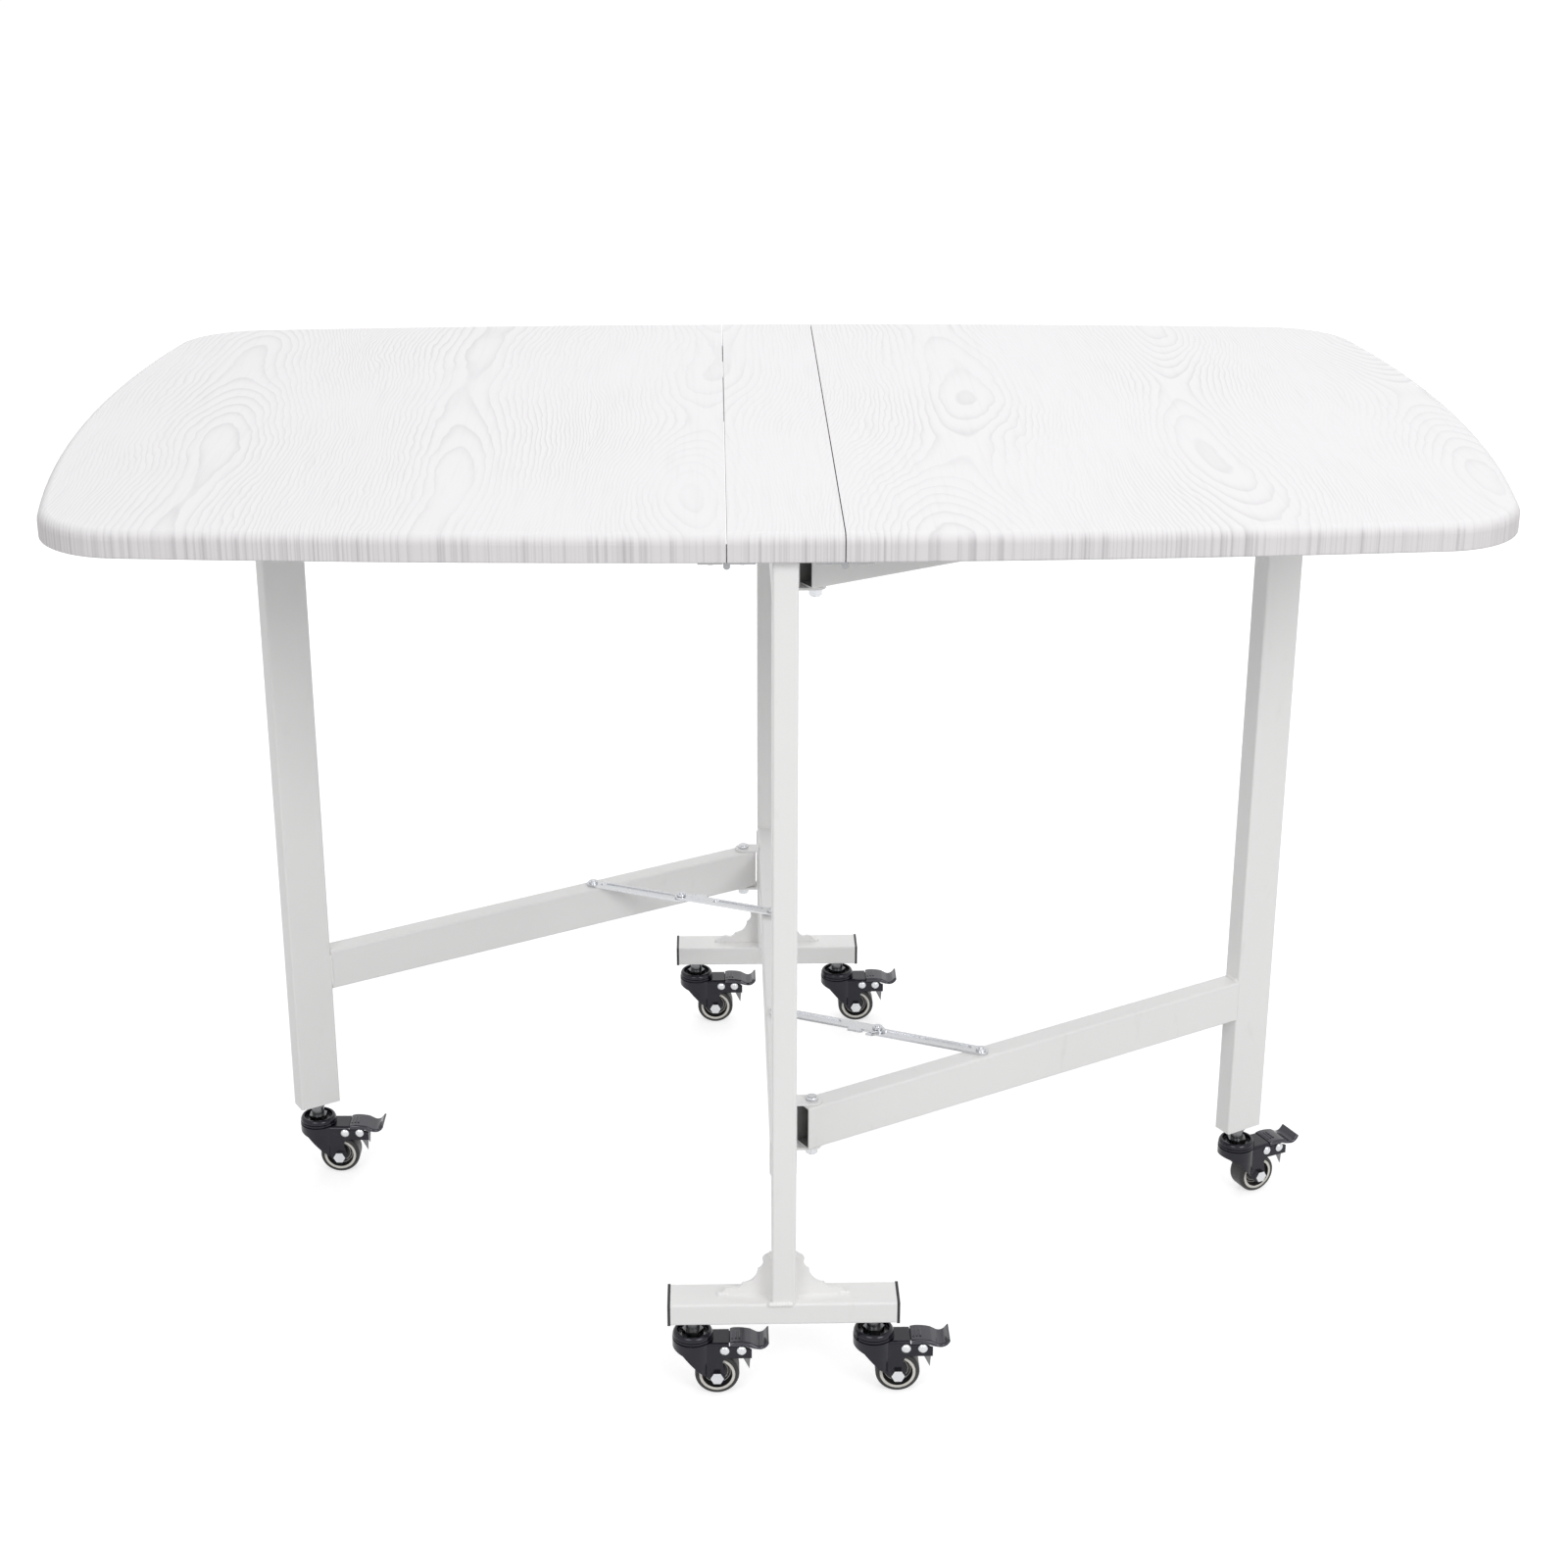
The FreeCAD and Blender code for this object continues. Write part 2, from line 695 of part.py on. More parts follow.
def make_gussets():
    plates = []
    corners = [(f"{x} * gusset_reach", f"{y} * gusset_rise") for x, y in GUSSET_SHARES]
    bulges = {index: f"{share} * gusset_reach" for index, share in GUSSET_BULGE_SHARES.items()}
    for end, sign in ENDS.items():
        for side, way in SIDES.items():
            plate = body(f"{end}{side}Gusset")
            outline = draw(sketch_on(plate, "XZ"), corners, bulges)
            pad(plate, outline, "gusset_steel", middle=True)
            place(plate, f"{way} * tube_thick / 2", f"{sign} * {POST_Y}", FOOT_TOP,
                  "0" if way > 0 else "180")
            plates.append(plate)
    node(group("gussets", *plates), "foot_gussets")


def bracket(name, rail_bottom):
    """A U bracket: a back plate on the rail's side and two ears with round tips."""
    owner = body(name)
    back = sketch_on(owner, "XY", f"{rail_bottom} - side_play - bracket_steel")
    tip = "gate_pivot_across"
    draw(back, (("tube_thick / 2", "-bracket_width / 2"), (tip, "-bracket_width / 2"),
                (tip, "bracket_width / 2"), ("tube_thick / 2", "bracket_width / 2")))
    high = "tube_high + 2 * side_play + 2 * bracket_steel"
    pad(owner, back, high)
    nose = sketch_on(owner, "XY", f"{rail_bottom} - side_play - bracket_steel")
    circle(nose, tip, "0", "bracket_width")
    pad(owner, nose, high)
    slot = sketch_on(owner, "XY", f"{rail_bottom} - side_play")
    rectangle(slot, "tube_thick / 2 + bracket_steel", "-bracket_width / 2 - overrun",
              f"{tip} + bracket_width / 2 + overrun", "bracket_width / 2 + overrun")
    pocket(owner, slot, "tube_high + 2 * side_play", flip=True)
    bore_up(owner, tip, "0", "pivot_bolt + 2 * pin_play",
            f"{rail_bottom} - side_play - bracket_steel - overrun",
            "tube_high + 2 * (side_play + bracket_steel + overrun)")
    return owner


def make_brackets():
    brackets = []
    for side, way in SIDES.items():
        for level, bottom in (("Lower", LOWER_RAIL), ("Upper", f"({GATE_TOP} - tube_high)")):
            part = bracket(f"{side}{level}Bracket", bottom)
            place(part, y=f"-{way} * gate_pivot_along", turn=half_turn(side))
            brackets.append(part)
    node(group("pivot_brackets", *brackets), "gate_pivot_brackets")


def rivet_solid(name, x, y, bottom, seat):
    """A rivet: shank from its bottom to the head's seat, and a low head with a crown."""
    shank = rod(f"{name}_shank", "rivet", f"({seat}) - ({bottom}) + rivet_head_high",
                (x, y, bottom))
    head = rod(f"{name}_head", "rivet_head", "rivet_head_high", (x, y, seat))
    crown = rod(f"{name}_crown", "rivet_head / 2", "rivet_crown_high", (x, y, seat))
    return shank, head, crown


STAY_LOW = "(stretcher_height + side_play)"
STAY_HIGH = "(stretcher_height + 2 * side_play + stay_steel)"


def stem(name, grip):
    """A caster's swivel stem on the floor's origin: a rivet end under the fork, a race and a
    nut in the ring, a neck with a flange under the tube, and a threaded end inside it."""
    bottom = "(fork_height - fork_steel - side_play - stem_flange)"
    end = f"caster_height + {grip} + stem_nut_high"
    shank = rod(f"{name}_shank", "swivel_stem", f"{end} - {bottom}", ("0", "0", bottom))
    foot = rod(f"{name}_foot", "stem_nut", "stem_flange", ("0", "0", bottom))
    race = rod(f"{name}_race", "ring_opening - 2 * side_play", "stem_flange",
               ("0", "0", "fork_height + side_play"))
    nut = body(f"{name}Nut")
    outline = hexagon(sketch_on(nut, "XY", "fork_height + side_play + stem_flange"),
                      "0", "0", "stem_nut")
    pad(nut, outline, "stem_nut_high")
    neck = rod(f"{name}_neck", "stem_neck", "caster_height - fork_height - side_play",
               ("0", "0", "fork_height + side_play"))
    flange = rod(f"{name}_flange", "stem_nut", "stem_flange",
                 ("0", "0", "caster_height - stem_flange"))
    lock = rod(f"{name}_lock", "stem_nut", "stem_nut_high - overrun / 2",
               ("0", "0", f"caster_height + {grip}"))
    return fuse(name, shank, foot, race, nut, neck, flange, lock)


def make_frame_fasteners():
    pieces = []
    for end, sign in ENDS.items():
        for side, way in SIDES.items():
            part = stem(f"{end}_{side}_stem", "tube_wall")
            place(part, f"{way} * caster_spread / 2", f"{sign} * {POST_Y}")
            pieces.append(part)
        along = f"{sign} * stay_rivet_along"
        seat = f"{STAY_HIGH} + stay_steel + side_play"
        solids = rivet_solid(f"{end}_stay_rivet", "0", along,
                             "stretcher_height - tube_wall - rivet_head_high", seat)
        washer = rod(f"{end}_stay_washer", "rivet_head", f"{STAY_LOW} + stay_steel - "
                     "stretcher_height", ("0", along, "stretcher_height"))
        pieces.append(fuse(f"{end}_stay_rivet", *solids, washer))
    for index, spot in enumerate(top_screw_spots()):
        pieces.append(wood_screw(f"top_screw{index}", "top_screw", spot, UPPER_RAIL))
    node(group("frame_fasteners", *pieces), "frame_fasteners")


# Gates: drawn with the pivot on the origin and the leg along X


def gate_place(target, side):
    way = SIDES[side]
    turn = "90 - gate_angle" if way > 0 else "270 - gate_angle"
    place(target, f"{way} * gate_pivot_across", f"-{way} * gate_pivot_along", turn=turn)


def make_gate(side):
    leg_face = "gate_reach - tube_high / 2"
    for level, bottom in (("lower", LOWER_RAIL), ("upper", f"({GATE_TOP} - tube_high)")):
        rail = tube(f"{side}Gate{level}", "YZ", "tube_thick", "tube_high",
                    f"gate_heel + {leg_face}", "-gate_heel",
                    ("0", f"{bottom} + tube_high / 2"))
        bore_up(rail, "0", "0", "pivot_bolt + 2 * pin_play", f"{bottom} - overrun",
                "tube_high + 2 * overrun")
        gate_place(rail, side)
        node(rail, f"{side}_gate_{level}_rail")
    leg = tube(f"{side}Leg", "XY", "tube_high", "tube_thick",
               f"{GATE_TOP} - caster_height", "caster_height", ("gate_reach", "0"))
    plate = sketch_on(leg, "XY", "caster_height")
    rectangle(plate, f"{leg_face} + tube_wall / 2", "tube_wall / 2 - tube_thick / 2",
              f"{leg_face} + tube_high - tube_wall / 2", "tube_thick / 2 - tube_wall / 2")
    pad(leg, plate, "leg_end_plate")
    bore_up(leg, "gate_reach", "0", "swivel_stem + 2 * pin_play",
            "caster_height - overrun", "leg_end_plate + 2 * overrun")
    gate_place(leg, side)
    node(leg, f"{side}_gate_leg")
    make_glide(side, leg_face)
    make_gate_fittings(side)


def make_glide(side, leg_face):
    """The leg's top plug: a cap over the tube and a round glide that carries the leaf."""
    cap = box(f"{side}_glide_cap", ("tube_high", "tube_thick", "glide_cap"),
              (leg_face, "-tube_thick / 2", GATE_TOP))
    plug = box(f"{side}_glide_plug",
               ("tube_high - 2 * tube_wall - 2 * pin_play",
                "tube_thick - 2 * tube_wall - 2 * pin_play", "cap_plug"),
               (f"{leg_face} + tube_wall + pin_play",
                "tube_wall + pin_play - tube_thick / 2", f"{GATE_TOP} - cap_plug"))
    button = rod(f"{side}_glide_button", "glide_across", "gate_drop - side_play",
                 ("gate_reach", "0", GATE_TOP))
    glide = fuse(f"{side}_glide", cap, plug, button)
    gate_place(glide, side)
    node(glide, f"{side}_gate_leg_glide")


def pivot_bolt(name, rail_bottom):
    """A pivot bolt: a low round head over the top ear, and a lock nut under the lower."""
    low = f"({rail_bottom} - side_play - bracket_steel)"
    top = f"({rail_bottom} + tube_high + side_play + bracket_steel)"
    shank = rod(f"{name}_shank", "pivot_bolt", f"{top} - {low} + 2 * bolt_head_high",
                ("0", "0", f"{low} - bolt_head_high"))
    head = body(f"{name}Head")
    outline = circle(sketch_on(head, "XY", f"{top} + side_play"), "0", "0", "bolt_head")
    pad(head, outline, "bolt_head_high")
    fillet(head, "bolt_head_high / 2",
           lambda edge: edge.BoundBox.ZMin > number(f"{top} + bolt_head_high / 2"))
    nut = body(f"{name}Nut")
    level = f"{low} - side_play - bolt_nut_high"
    outline = hexagon(sketch_on(nut, "XY", level), "0", "0", "bolt_nut")
    pad(nut, outline, "bolt_nut_high")
    collar = rod(f"{name}_collar", "bolt_nut_collar", "bolt_nut_collar_high",
                 ("0", "0", f"{level} - bolt_nut_collar_high"))
    return fuse(name, shank, head, nut, collar)


def make_gate_fittings(side):
    pieces = [pivot_bolt(f"{side}_lower_bolt", LOWER_RAIL),
              pivot_bolt(f"{side}_upper_bolt", f"({GATE_TOP} - tube_high)")]
    part = stem(f"{side}_leg_stem", "leg_end_plate")
    place(part, "gate_reach")
    fittings = group(f"{side}_gate_fittings", *pieces, part)
    gate_place(fittings, side)
    node(fittings, f"{side}_gate_fittings")


# Folding stays: each link is drawn along X from its own pivot

STAY_X = "(gate_pivot_across + stay_reach * sin(gate_angle))"
STAY_Y = "(stay_rivet_along - gate_pivot_along + stay_reach * cos(gate_angle))"
LINK = f"(sqrt({STAY_X} ^ 2 + {STAY_Y} ^ 2) / 2)"
STAY_TURN = f"atan({STAY_Y} / {STAY_X})"


def link_plate(owner, level):
    """A pressed link with round ends and a long groove in its top."""
    outline = sketch_on(owner, "XY", level)
    half = "stay_width / 2"
    draw(outline, (("0", f"-{half}"), (LINK, f"-{half}"), (f"{LINK} + {half}", "0"),
                   (LINK, half), ("0", half), (f"-{half}", "0")),
         {1: f"-{half}", 2: f"-{half}", 4: f"-{half}", 5: f"-{half}"})
    pad(owner, outline, "stay_steel")


def groove(owner, level, start, stop):
    outline = sketch_on(owner, "XY", f"{level} + stay_steel")
    half = "stay_groove / 2"
    draw(outline, ((start, f"-{half}"), (stop, f"-{half}"), (f"{stop} + {half}", "0"),
                   (stop, half), (start, half), (f"{start} - {half}", "0")),
         {1: f"-{half}", 2: f"-{half}", 4: f"-{half}", 5: f"-{half}"})
    pocket(owner, outline, "stay_groove_deep")


def make_stay(side):
    way = SIDES[side]
    inner = body(f"{side}StayInner")
    link_plate(inner, STAY_HIGH)
    groove(inner, STAY_HIGH, "rivet_head + stay_groove / 2", f"{GROOVE_END_SHARE} * {LINK}")
    lug = sketch_on(inner, "XY", STAY_HIGH)
    end = f"{LINK} - stay_width"
    draw(lug, ((f"{end} - stay_lug_long", "-stay_width / 3"),
               (f"{end} - stay_lug_long", "-stay_width / 2 - stay_lug"),
               (end, "-stay_width / 2 - stay_lug"),
               (f"{end} + stay_lug / 2", "-stay_width / 2 - stay_lug / 2"),
               (f"{end} - stay_lug", "-stay_width / 3")))
    pad(inner, lug, "stay_steel")
    for spot in ("0", LINK):
        bore_up(inner, spot, "0", "rivet + 2 * pin_play", f"{STAY_HIGH} - overrun",
                "stay_steel + 2 * overrun")
    base_y = f"-{way} * stay_rivet_along"
    turn = STAY_TURN if way > 0 else f"180 deg + {STAY_TURN}"
    place(inner, y=base_y, turn=turn)
    node(inner, f"{side}_stay_inner_link")
    outer = body(f"{side}StayOuter")
    link_plate(outer, STAY_LOW)
    groove(outer, STAY_LOW, f"{GROOVE_START_SHARE} * {LINK}",
           f"{LINK} - rivet_head - stay_groove / 2")
    tooth = sketch_on(outer, "XY", STAY_LOW)
    draw(tooth, (("-stay_width / 3", "-stay_width / 3"),
                 ("-stay_width / 3 - stay_lug", "-stay_width / 2 - stay_lug / 2"),
                 ("-stay_width / 4", "-stay_width / 2 - stay_lug / 2"),
                 ("stay_width / 4", "-stay_width / 3")))
    pad(outer, tooth, "stay_steel")
    for spot in ("0", LINK):
        bore_up(outer, spot, "0", "rivet", f"{STAY_LOW} - overrun",
                "stay_steel + 2 * overrun")
    middle = rivet_solid(f"{side}_middle_rivet", "0", "0", STAY_LOW,
                         f"{STAY_HIGH} + stay_steel + side_play")
    last = rivet_solid(f"{side}_outer_rivet", LINK, "0", STAY_LOW, f"{STAY_LOW} + stay_steel")
    whole = fuse(f"{side}_stay_outer", outer, *middle, *last)
    place(whole, f"{way} * {STAY_X} / 2", f"{base_y} + {way} * {STAY_Y} / 2", turn=turn)
    node(whole, f"{side}_stay_outer_link")


# Casters: drawn with the swivel axis on the origin and the wheel trailing along X

CHEEK_IN = "(wheel_width / 2 + cheek_gap)"
CHEEK_OUT = "(wheel_width / 2 + cheek_gap + fork_steel)"
HUB = "(wheel_across / 2)"


def fork_plan(sketch, inset):
    """The fork from above: a round nose and a straight arm, all inset by one amount."""
    half = f"({CHEEK_OUT} - {inset})"
    nose = f"(fork_nose / 2 - {inset})"
    join = f"sqrt({nose} ^ 2 - {half} ^ 2)"
    return draw(sketch, ((join, f"-{half}"), ("arm_end + overrun", f"-{half}"),
                         ("arm_end + overrun", half), (join, half), (f"-{nose}", "0")),
                {3: f"-{nose}", 4: f"-{nose}"})


def fork_side(owner):
    """The fork from the side: a skirt under the nose, a lobed cheek round the axle, and an
    arm that steps down behind its top plate to carry the pedal."""
    lobe = "fork_lobe / 2"
    top = "(fork_height - arm_step)"
    return draw(sketch_on(owner, "XZ"), (
        ("-fork_nose / 2", "fork_height"), ("-fork_nose / 2", "fork_height - skirt_deep"),
        ("-throat_along", "fork_height - throat_deep"),
        (f"caster_trail - {lobe} * cos(40)", f"{HUB} - {lobe} * sin(40)"),
        ("caster_trail", f"{HUB} - {lobe}"), (f"caster_trail + {lobe}", HUB),
        ("caster_trail + neck_along", "fork_height - neck_deep"),
        (f"caster_trail + {lobe}", "arm_under"), ("arm_end", "arm_under"),
        ("arm_end", f"{top} - arm_step"), ("brake_rivet_far", top),
        ("arm_plate_end", top), ("arm_plate_end", "fork_height")),
        {3: f"-{lobe}", 4: f"-{lobe}"})


def swivel_ring(owner):
    """The two-part ring on the fork: a rolled bead, a seam and a rounded cup."""
    outer = "ring_across / 2"
    seam = "fork_height + ring_bead"
    return draw(sketch_on(owner, "XZ"), (
        ("ring_opening / 2", "fork_height"), (f"{outer} - ring_seam", "fork_height"),
        (outer, "fork_height + ring_bead / 2"), (f"{outer} - ring_seam / 2", seam),
        (f"{outer} - 2 * ring_seam", f"{seam} + ring_seam / 2"),
        (f"{outer} - ring_seam / 2", f"{seam} + ring_seam"),
        (f"{outer} - 3 * ring_seam", "fork_height + ring_high"),
        ("ring_opening / 2 + ring_seam", "fork_height + ring_high"),
        ("ring_opening / 2", "fork_height + ring_high - ring_bead")),
        {5: "-ring_crown"})


def make_fork(name, setting):
    owner = body(f"{name}Fork")
    pad(owner, fork_side(owner), "2 * fork_nose", middle=True)
    trim = sketch_on(owner, "XY")
    rectangle(trim, "-2 * fork_nose", "-2 * fork_nose", "arm_end + 2 * overrun",
              "2 * fork_nose")
    pocket(owner, fork_plan(trim, "0"), "fork_height + overrun", flip=True)
    fillet(owner, "fork_bend",
           lambda edge: edge.BoundBox.YLength < NEAR < edge.BoundBox.XLength
           and edge.BoundBox.ZMin > number("fork_height") - NEAR)
    hollow = fork_plan(sketch_on(owner, "XY"), "fork_steel")
    pocket(owner, hollow, "fork_height - fork_steel", flip=True)
    bore_up(owner, "0", "0", "swivel_stem + 2 * pin_play",
            "fork_height - fork_steel - overrun", "fork_steel + 2 * overrun")
    holes = sketch_on(owner, "XZ")
    circle(holes, "caster_trail", HUB, "axle + 2 * pin_play")
    for spot in ("near", "far"):
        circle(holes, f"brake_rivet_{spot}", "brake_rivet_height",
               "brake_rivet + 2 * pin_play")
    pocket(owner, holes, "2 * fork_nose", middle=True)
    revolve(owner, swivel_ring(owner), "V_Axis")
    place(owner, *setting[:2], turn=setting[2])
    node(owner, f"{name}_caster_fork")


def hex_head(name, start, away):
    """A hexagon head or nut on the axle, from a cheek's face outwards."""
    owner = body(name)
    outline = hexagon(sketch_on(owner, "XZ", start), "caster_trail", HUB, "axle_head")
    pad(owner, outline, "axle_head_high", flip=away)
    return owner


def brake_rivet(name, spot):
    """A rivet right across the fork with a domed head on each cheek."""
    owner = body(f"{name}{spot.title()}Rivet")
    head = "brake_rivet_head / 2"
    shank = "brake_rivet / 2"
    edge = f"({CHEEK_OUT} + brake_rivet_head_high - brake_rivet_dome)"
    crown = f"({CHEEK_OUT} + brake_rivet_head_high)"
    dome = f"(({head}) ^ 2 + brake_rivet_dome ^ 2) / (2 * brake_rivet_dome)"
    outline = draw(sketch_on(owner, "XY"), (
        ("0", f"-{crown}"), (head, f"-{edge}"), (head, f"-{CHEEK_OUT}"),
        (shank, f"-{CHEEK_OUT}"), (shank, CHEEK_OUT), (head, CHEEK_OUT), (head, edge),
        ("0", crown)), {0: f"-{dome}", 6: f"-{dome}"})
    revolve(owner, outline, "V_Axis")
    place(owner, f"brake_rivet_{spot}", "0", "brake_rivet_height")
    return owner


def brake_spring(name):
    """The brake's spring leaf: a web under the far rivet and two pointed flanges."""
    owner = body(f"{name}Spring")
    low = "(brake_rivet_height - brake_rivet / 2)"
    point = "(arm_under - spring_point)"
    outline = draw(sketch_on(owner, "XZ"), (
        ("brake_rivet_far - brake_rivet / 2", low), ("brake_rivet_far + brake_rivet / 2", low),
        ("arm_end - cheek_gap", "arm_under"), ("arm_end - fork_steel", point),
        ("brake_rivet_far", "arm_under")))
    pad(owner, outline, "spring_width", middle=True)
    gap = rectangle(sketch_on(owner, "XZ"), "brake_rivet_far - brake_rivet",
                    f"{point} - overrun", "arm_end + overrun", f"{low} - fork_steel")
    pocket(owner, gap, "spring_width - 2 * spring_steel", middle=True)
    return owner


def make_caster_fittings(name, setting):
    """The axle bolt and nut, the two brake rivets and the brake's spring leaf."""
    axle = rod(f"{name}_axle", "axle", f"2 * {CHEEK_OUT}",
               ("caster_trail", f"-{CHEEK_OUT}", HUB), "y")
    bolt = fuse(f"{name}_axle_bolt", axle, hex_head(f"{name}BoltHead", CHEEK_OUT, False),
                hex_head(f"{name}BoltNut", f"-{CHEEK_OUT}", True))
    fittings = group(f"{name}_caster_fittings", bolt, brake_rivet(name, "near"),
                     brake_rivet(name, "far"), brake_spring(name))
    place(fittings, *setting[:2], turn=setting[2])
    node(fittings, f"{name}_caster_fittings")


def wheel_setting(setting):
    """A wheel's own place: its hub trails the swivel axis by the caster's trail."""
    x, y, turn = setting
    return (f"{x} + caster_trail * cos({turn})", f"{y} + caster_trail * sin({turn})",
            HUB, turn)


def make_wheel(name, setting):
    half = "wheel_width / 2"
    outer = "wheel_across / 2"
    seat = "wheel_rim / 2"
    tyre = body(f"{name}Tyre")
    outline = draw(sketch_on(tyre, "YZ"), (
        (f"-{half}", seat), (half, seat), (half, f"{outer} - tyre_shoulder"),
        (f"{half} - tyre_shoulder", outer), (f"tyre_shoulder - {half}", outer),
        (f"-{half}", f"{outer} - tyre_shoulder")),
        {2: "-tyre_shoulder", 4: "-tyre_shoulder"})
    revolve(tyre, outline, "H_Axis")
    place(tyre, *wheel_setting(setting))
    node(tyre, f"{name}_caster_tyre")
    hub = body(f"{name}Hub")
    bore = "axle / 2 + pin_play"
    rim_edge = f"{half} - ring_seam / 2"
    outline = draw(sketch_on(hub, "YZ"), (
        (f"-{half}", bore), (half, bore), (half, "wheel_boss / 2"),
        ("wheel_web / 2", "wheel_boss / 2"), ("wheel_web / 2", "wheel_dish / 2 - ring_seam"),
        (rim_edge, "wheel_dish / 2"), (rim_edge, f"{seat} - pin_play"),
        (f"-({rim_edge})", f"{seat} - pin_play"), (f"-({rim_edge})", "wheel_dish / 2"),
        ("-wheel_web / 2", "wheel_dish / 2 - ring_seam"), ("-wheel_web / 2", "wheel_boss / 2"),
        (f"-{half}", "wheel_boss / 2")))
    revolve(hub, outline, "H_Axis")
    place(hub, *wheel_setting(setting))
    node(hub, f"{name}_caster_hub")


def pedal_spots(shares):
    """Points of the pedal from the side, from shares of its reach."""
    return [(f"brake_rivet_far + {x} * pedal_reach", f"brake_rivet_height + {z} * pedal_reach")
            for x, z in shares]


def pedal_top_edge(edge):
    """True for the long edges on top of the pedal's plate, from its heel to its toe."""
    heel, toe = pedal_spots((PEDAL_UNDER_SHARES[-1], PEDAL_TOP_SHARES[-1]))
    spot = edge.BoundBox
    flat = spot.YLength < NEAR < spot.XLength
    return (flat and spot.XMax < number(toe[0]) + NEAR
            and spot.ZMax > number(heel[1]) + NEAR)


def make_pedal(name, setting):
    """The brake pedal: a ribbed plate with a curled toe, two ears on the far rivet and a
    shoe that hangs between them beside the tyre."""
    owner = body(f"{name}Pedal")
    far = "brake_rivet_far"
    bulges = {index: f"{share} * pedal_reach" for index, share in PEDAL_BULGE_SHARES.items()}
    outline = pedal_spots(PEDAL_TOP_SHARES + PEDAL_UNDER_SHARES)
    plate = draw(sketch_on(owner, "XZ"), outline, bulges)
    pad(owner, plate, f"2 * ({CHEEK_OUT} - side_play)", middle=True)
    fillet(owner, "pedal_round", pedal_top_edge)
    top = f"brake_rivet_height + {EAR_TOP_SHARE} * pedal_reach"
    ears = draw(sketch_on(owner, "XZ"), (
        (f"{far} - pedal_ear / 2", "brake_rivet_height"),
        (far, "brake_rivet_height - pedal_ear / 2"),
        (f"{far} + pedal_ear / 2", "brake_rivet_height"),
        (f"{far} + pedal_ear / 2", top), (f"{far} - pedal_ear / 2", top)),
        {0: "-pedal_ear / 2", 1: "-pedal_ear / 2"})
    pad(owner, ears, f"2 * ({CHEEK_IN} - side_play)", middle=True)
    gap = rectangle(sketch_on(owner, "XZ"), f"{far} - pedal_ear",
                    "brake_rivet_height - pedal_ear", f"{far} + pedal_ear / 2 + side_play",
                    f"brake_rivet_height + {HEEL_UNDER_SHARE} * pedal_reach")
    pocket(owner, gap, f"2 * ({CHEEK_IN} - side_play - fork_steel)", middle=True)
    shoe = draw(sketch_on(owner, "XZ"), pedal_spots(SHOE_SHARES))
    pad(owner, shoe, "shoe_width", middle=True)
    ribs = sketch_on(owner, "XZ")
    for x, z in pedal_spots(RIB_SHARES):
        circle(ribs, x, z, "pedal_rib")
    pad(owner, ribs, "pedal_rib_long", middle=True)
    hole = circle(sketch_on(owner, "XZ"), far, "brake_rivet_height",
                  "brake_rivet + 2 * pin_play")
    pocket(owner, hole, "2 * wheel_width", middle=True)
    place(owner, *setting[:2], turn=setting[2])
    node(owner, f"{name}_caster_pedal")


def caster_settings():
    """Each caster's swivel point and turn, from the foot bars and the opened gates."""
    spots = {}
    for end, sign in ENDS.items():
        for side, way in SIDES.items():
            spots[f"{end}_{side}"] = (f"{way} * caster_spread / 2", f"{sign} * {POST_Y}", "0")
    for side, way in SIDES.items():
        spots[f"{side}_leg"] = (
            f"{way} * (gate_pivot_across + gate_reach * sin(gate_angle))",
            f"{way} * (gate_reach * cos(gate_angle) - gate_pivot_along)",
            f"{side}_caster_turn")
    return spots


def make_casters():
    for name, setting in caster_settings().items():
        make_fork(name, setting)
        make_caster_fittings(name, setting)
        make_wheel(name, setting)
        make_pedal(name, setting)


def check_and_write():
    """Stop on any failed object or bad shape, then write each node to its file."""
    doc.recompute()
    for item in doc.Objects:
        if "Invalid" in item.State or "Error" in item.State:
            raise ValueError(f"{item.Label} failed: {item.State}")
    os.makedirs("parts", exist_ok=True)
    for item in nodes:
        if item.Shape.isNull() or not item.Shape.isValid():
            raise ValueError(f"{item.Label} has a bad shape")
        if item.Shape.Volume <= 0 or not item.Shape.Solids:
            raise ValueError(f"{item.Label} has no solid")
        item.Shape.exportStep(f"parts/{item.Label}.step")
    print(len(nodes), "nodes written")


make_top()
make_hinges()
make_posts()
make_rails()
make_feet()
make_foot_caps()
make_gussets()
make_brackets()
make_frame_fasteners()
for side in SIDES:
    make_gate(side)
    make_stay(side)
make_casters()
check_and_write()
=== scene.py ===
"""Looks of the fold-down table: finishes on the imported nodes, weld beads and wheel rings, light and camera."""
import json
import math
import random

import bmesh
import bpy
from mathutils import Matrix, Vector
from mathutils.bvhtree import BVHTree


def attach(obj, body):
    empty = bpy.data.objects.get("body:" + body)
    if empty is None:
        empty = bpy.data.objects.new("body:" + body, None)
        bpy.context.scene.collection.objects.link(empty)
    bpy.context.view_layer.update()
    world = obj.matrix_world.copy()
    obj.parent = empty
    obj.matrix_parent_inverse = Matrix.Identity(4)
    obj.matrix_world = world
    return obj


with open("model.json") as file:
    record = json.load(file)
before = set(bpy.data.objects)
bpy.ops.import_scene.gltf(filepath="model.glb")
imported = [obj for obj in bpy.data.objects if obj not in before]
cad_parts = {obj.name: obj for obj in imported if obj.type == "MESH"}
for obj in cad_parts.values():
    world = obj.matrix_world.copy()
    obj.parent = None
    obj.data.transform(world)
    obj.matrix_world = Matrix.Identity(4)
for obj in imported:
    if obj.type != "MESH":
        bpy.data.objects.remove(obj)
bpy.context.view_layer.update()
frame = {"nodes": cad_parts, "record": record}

nodes = frame["nodes"]
record = frame["record"]
joints = {row["name"]: row for row in record["behaviour"]["joints"]}
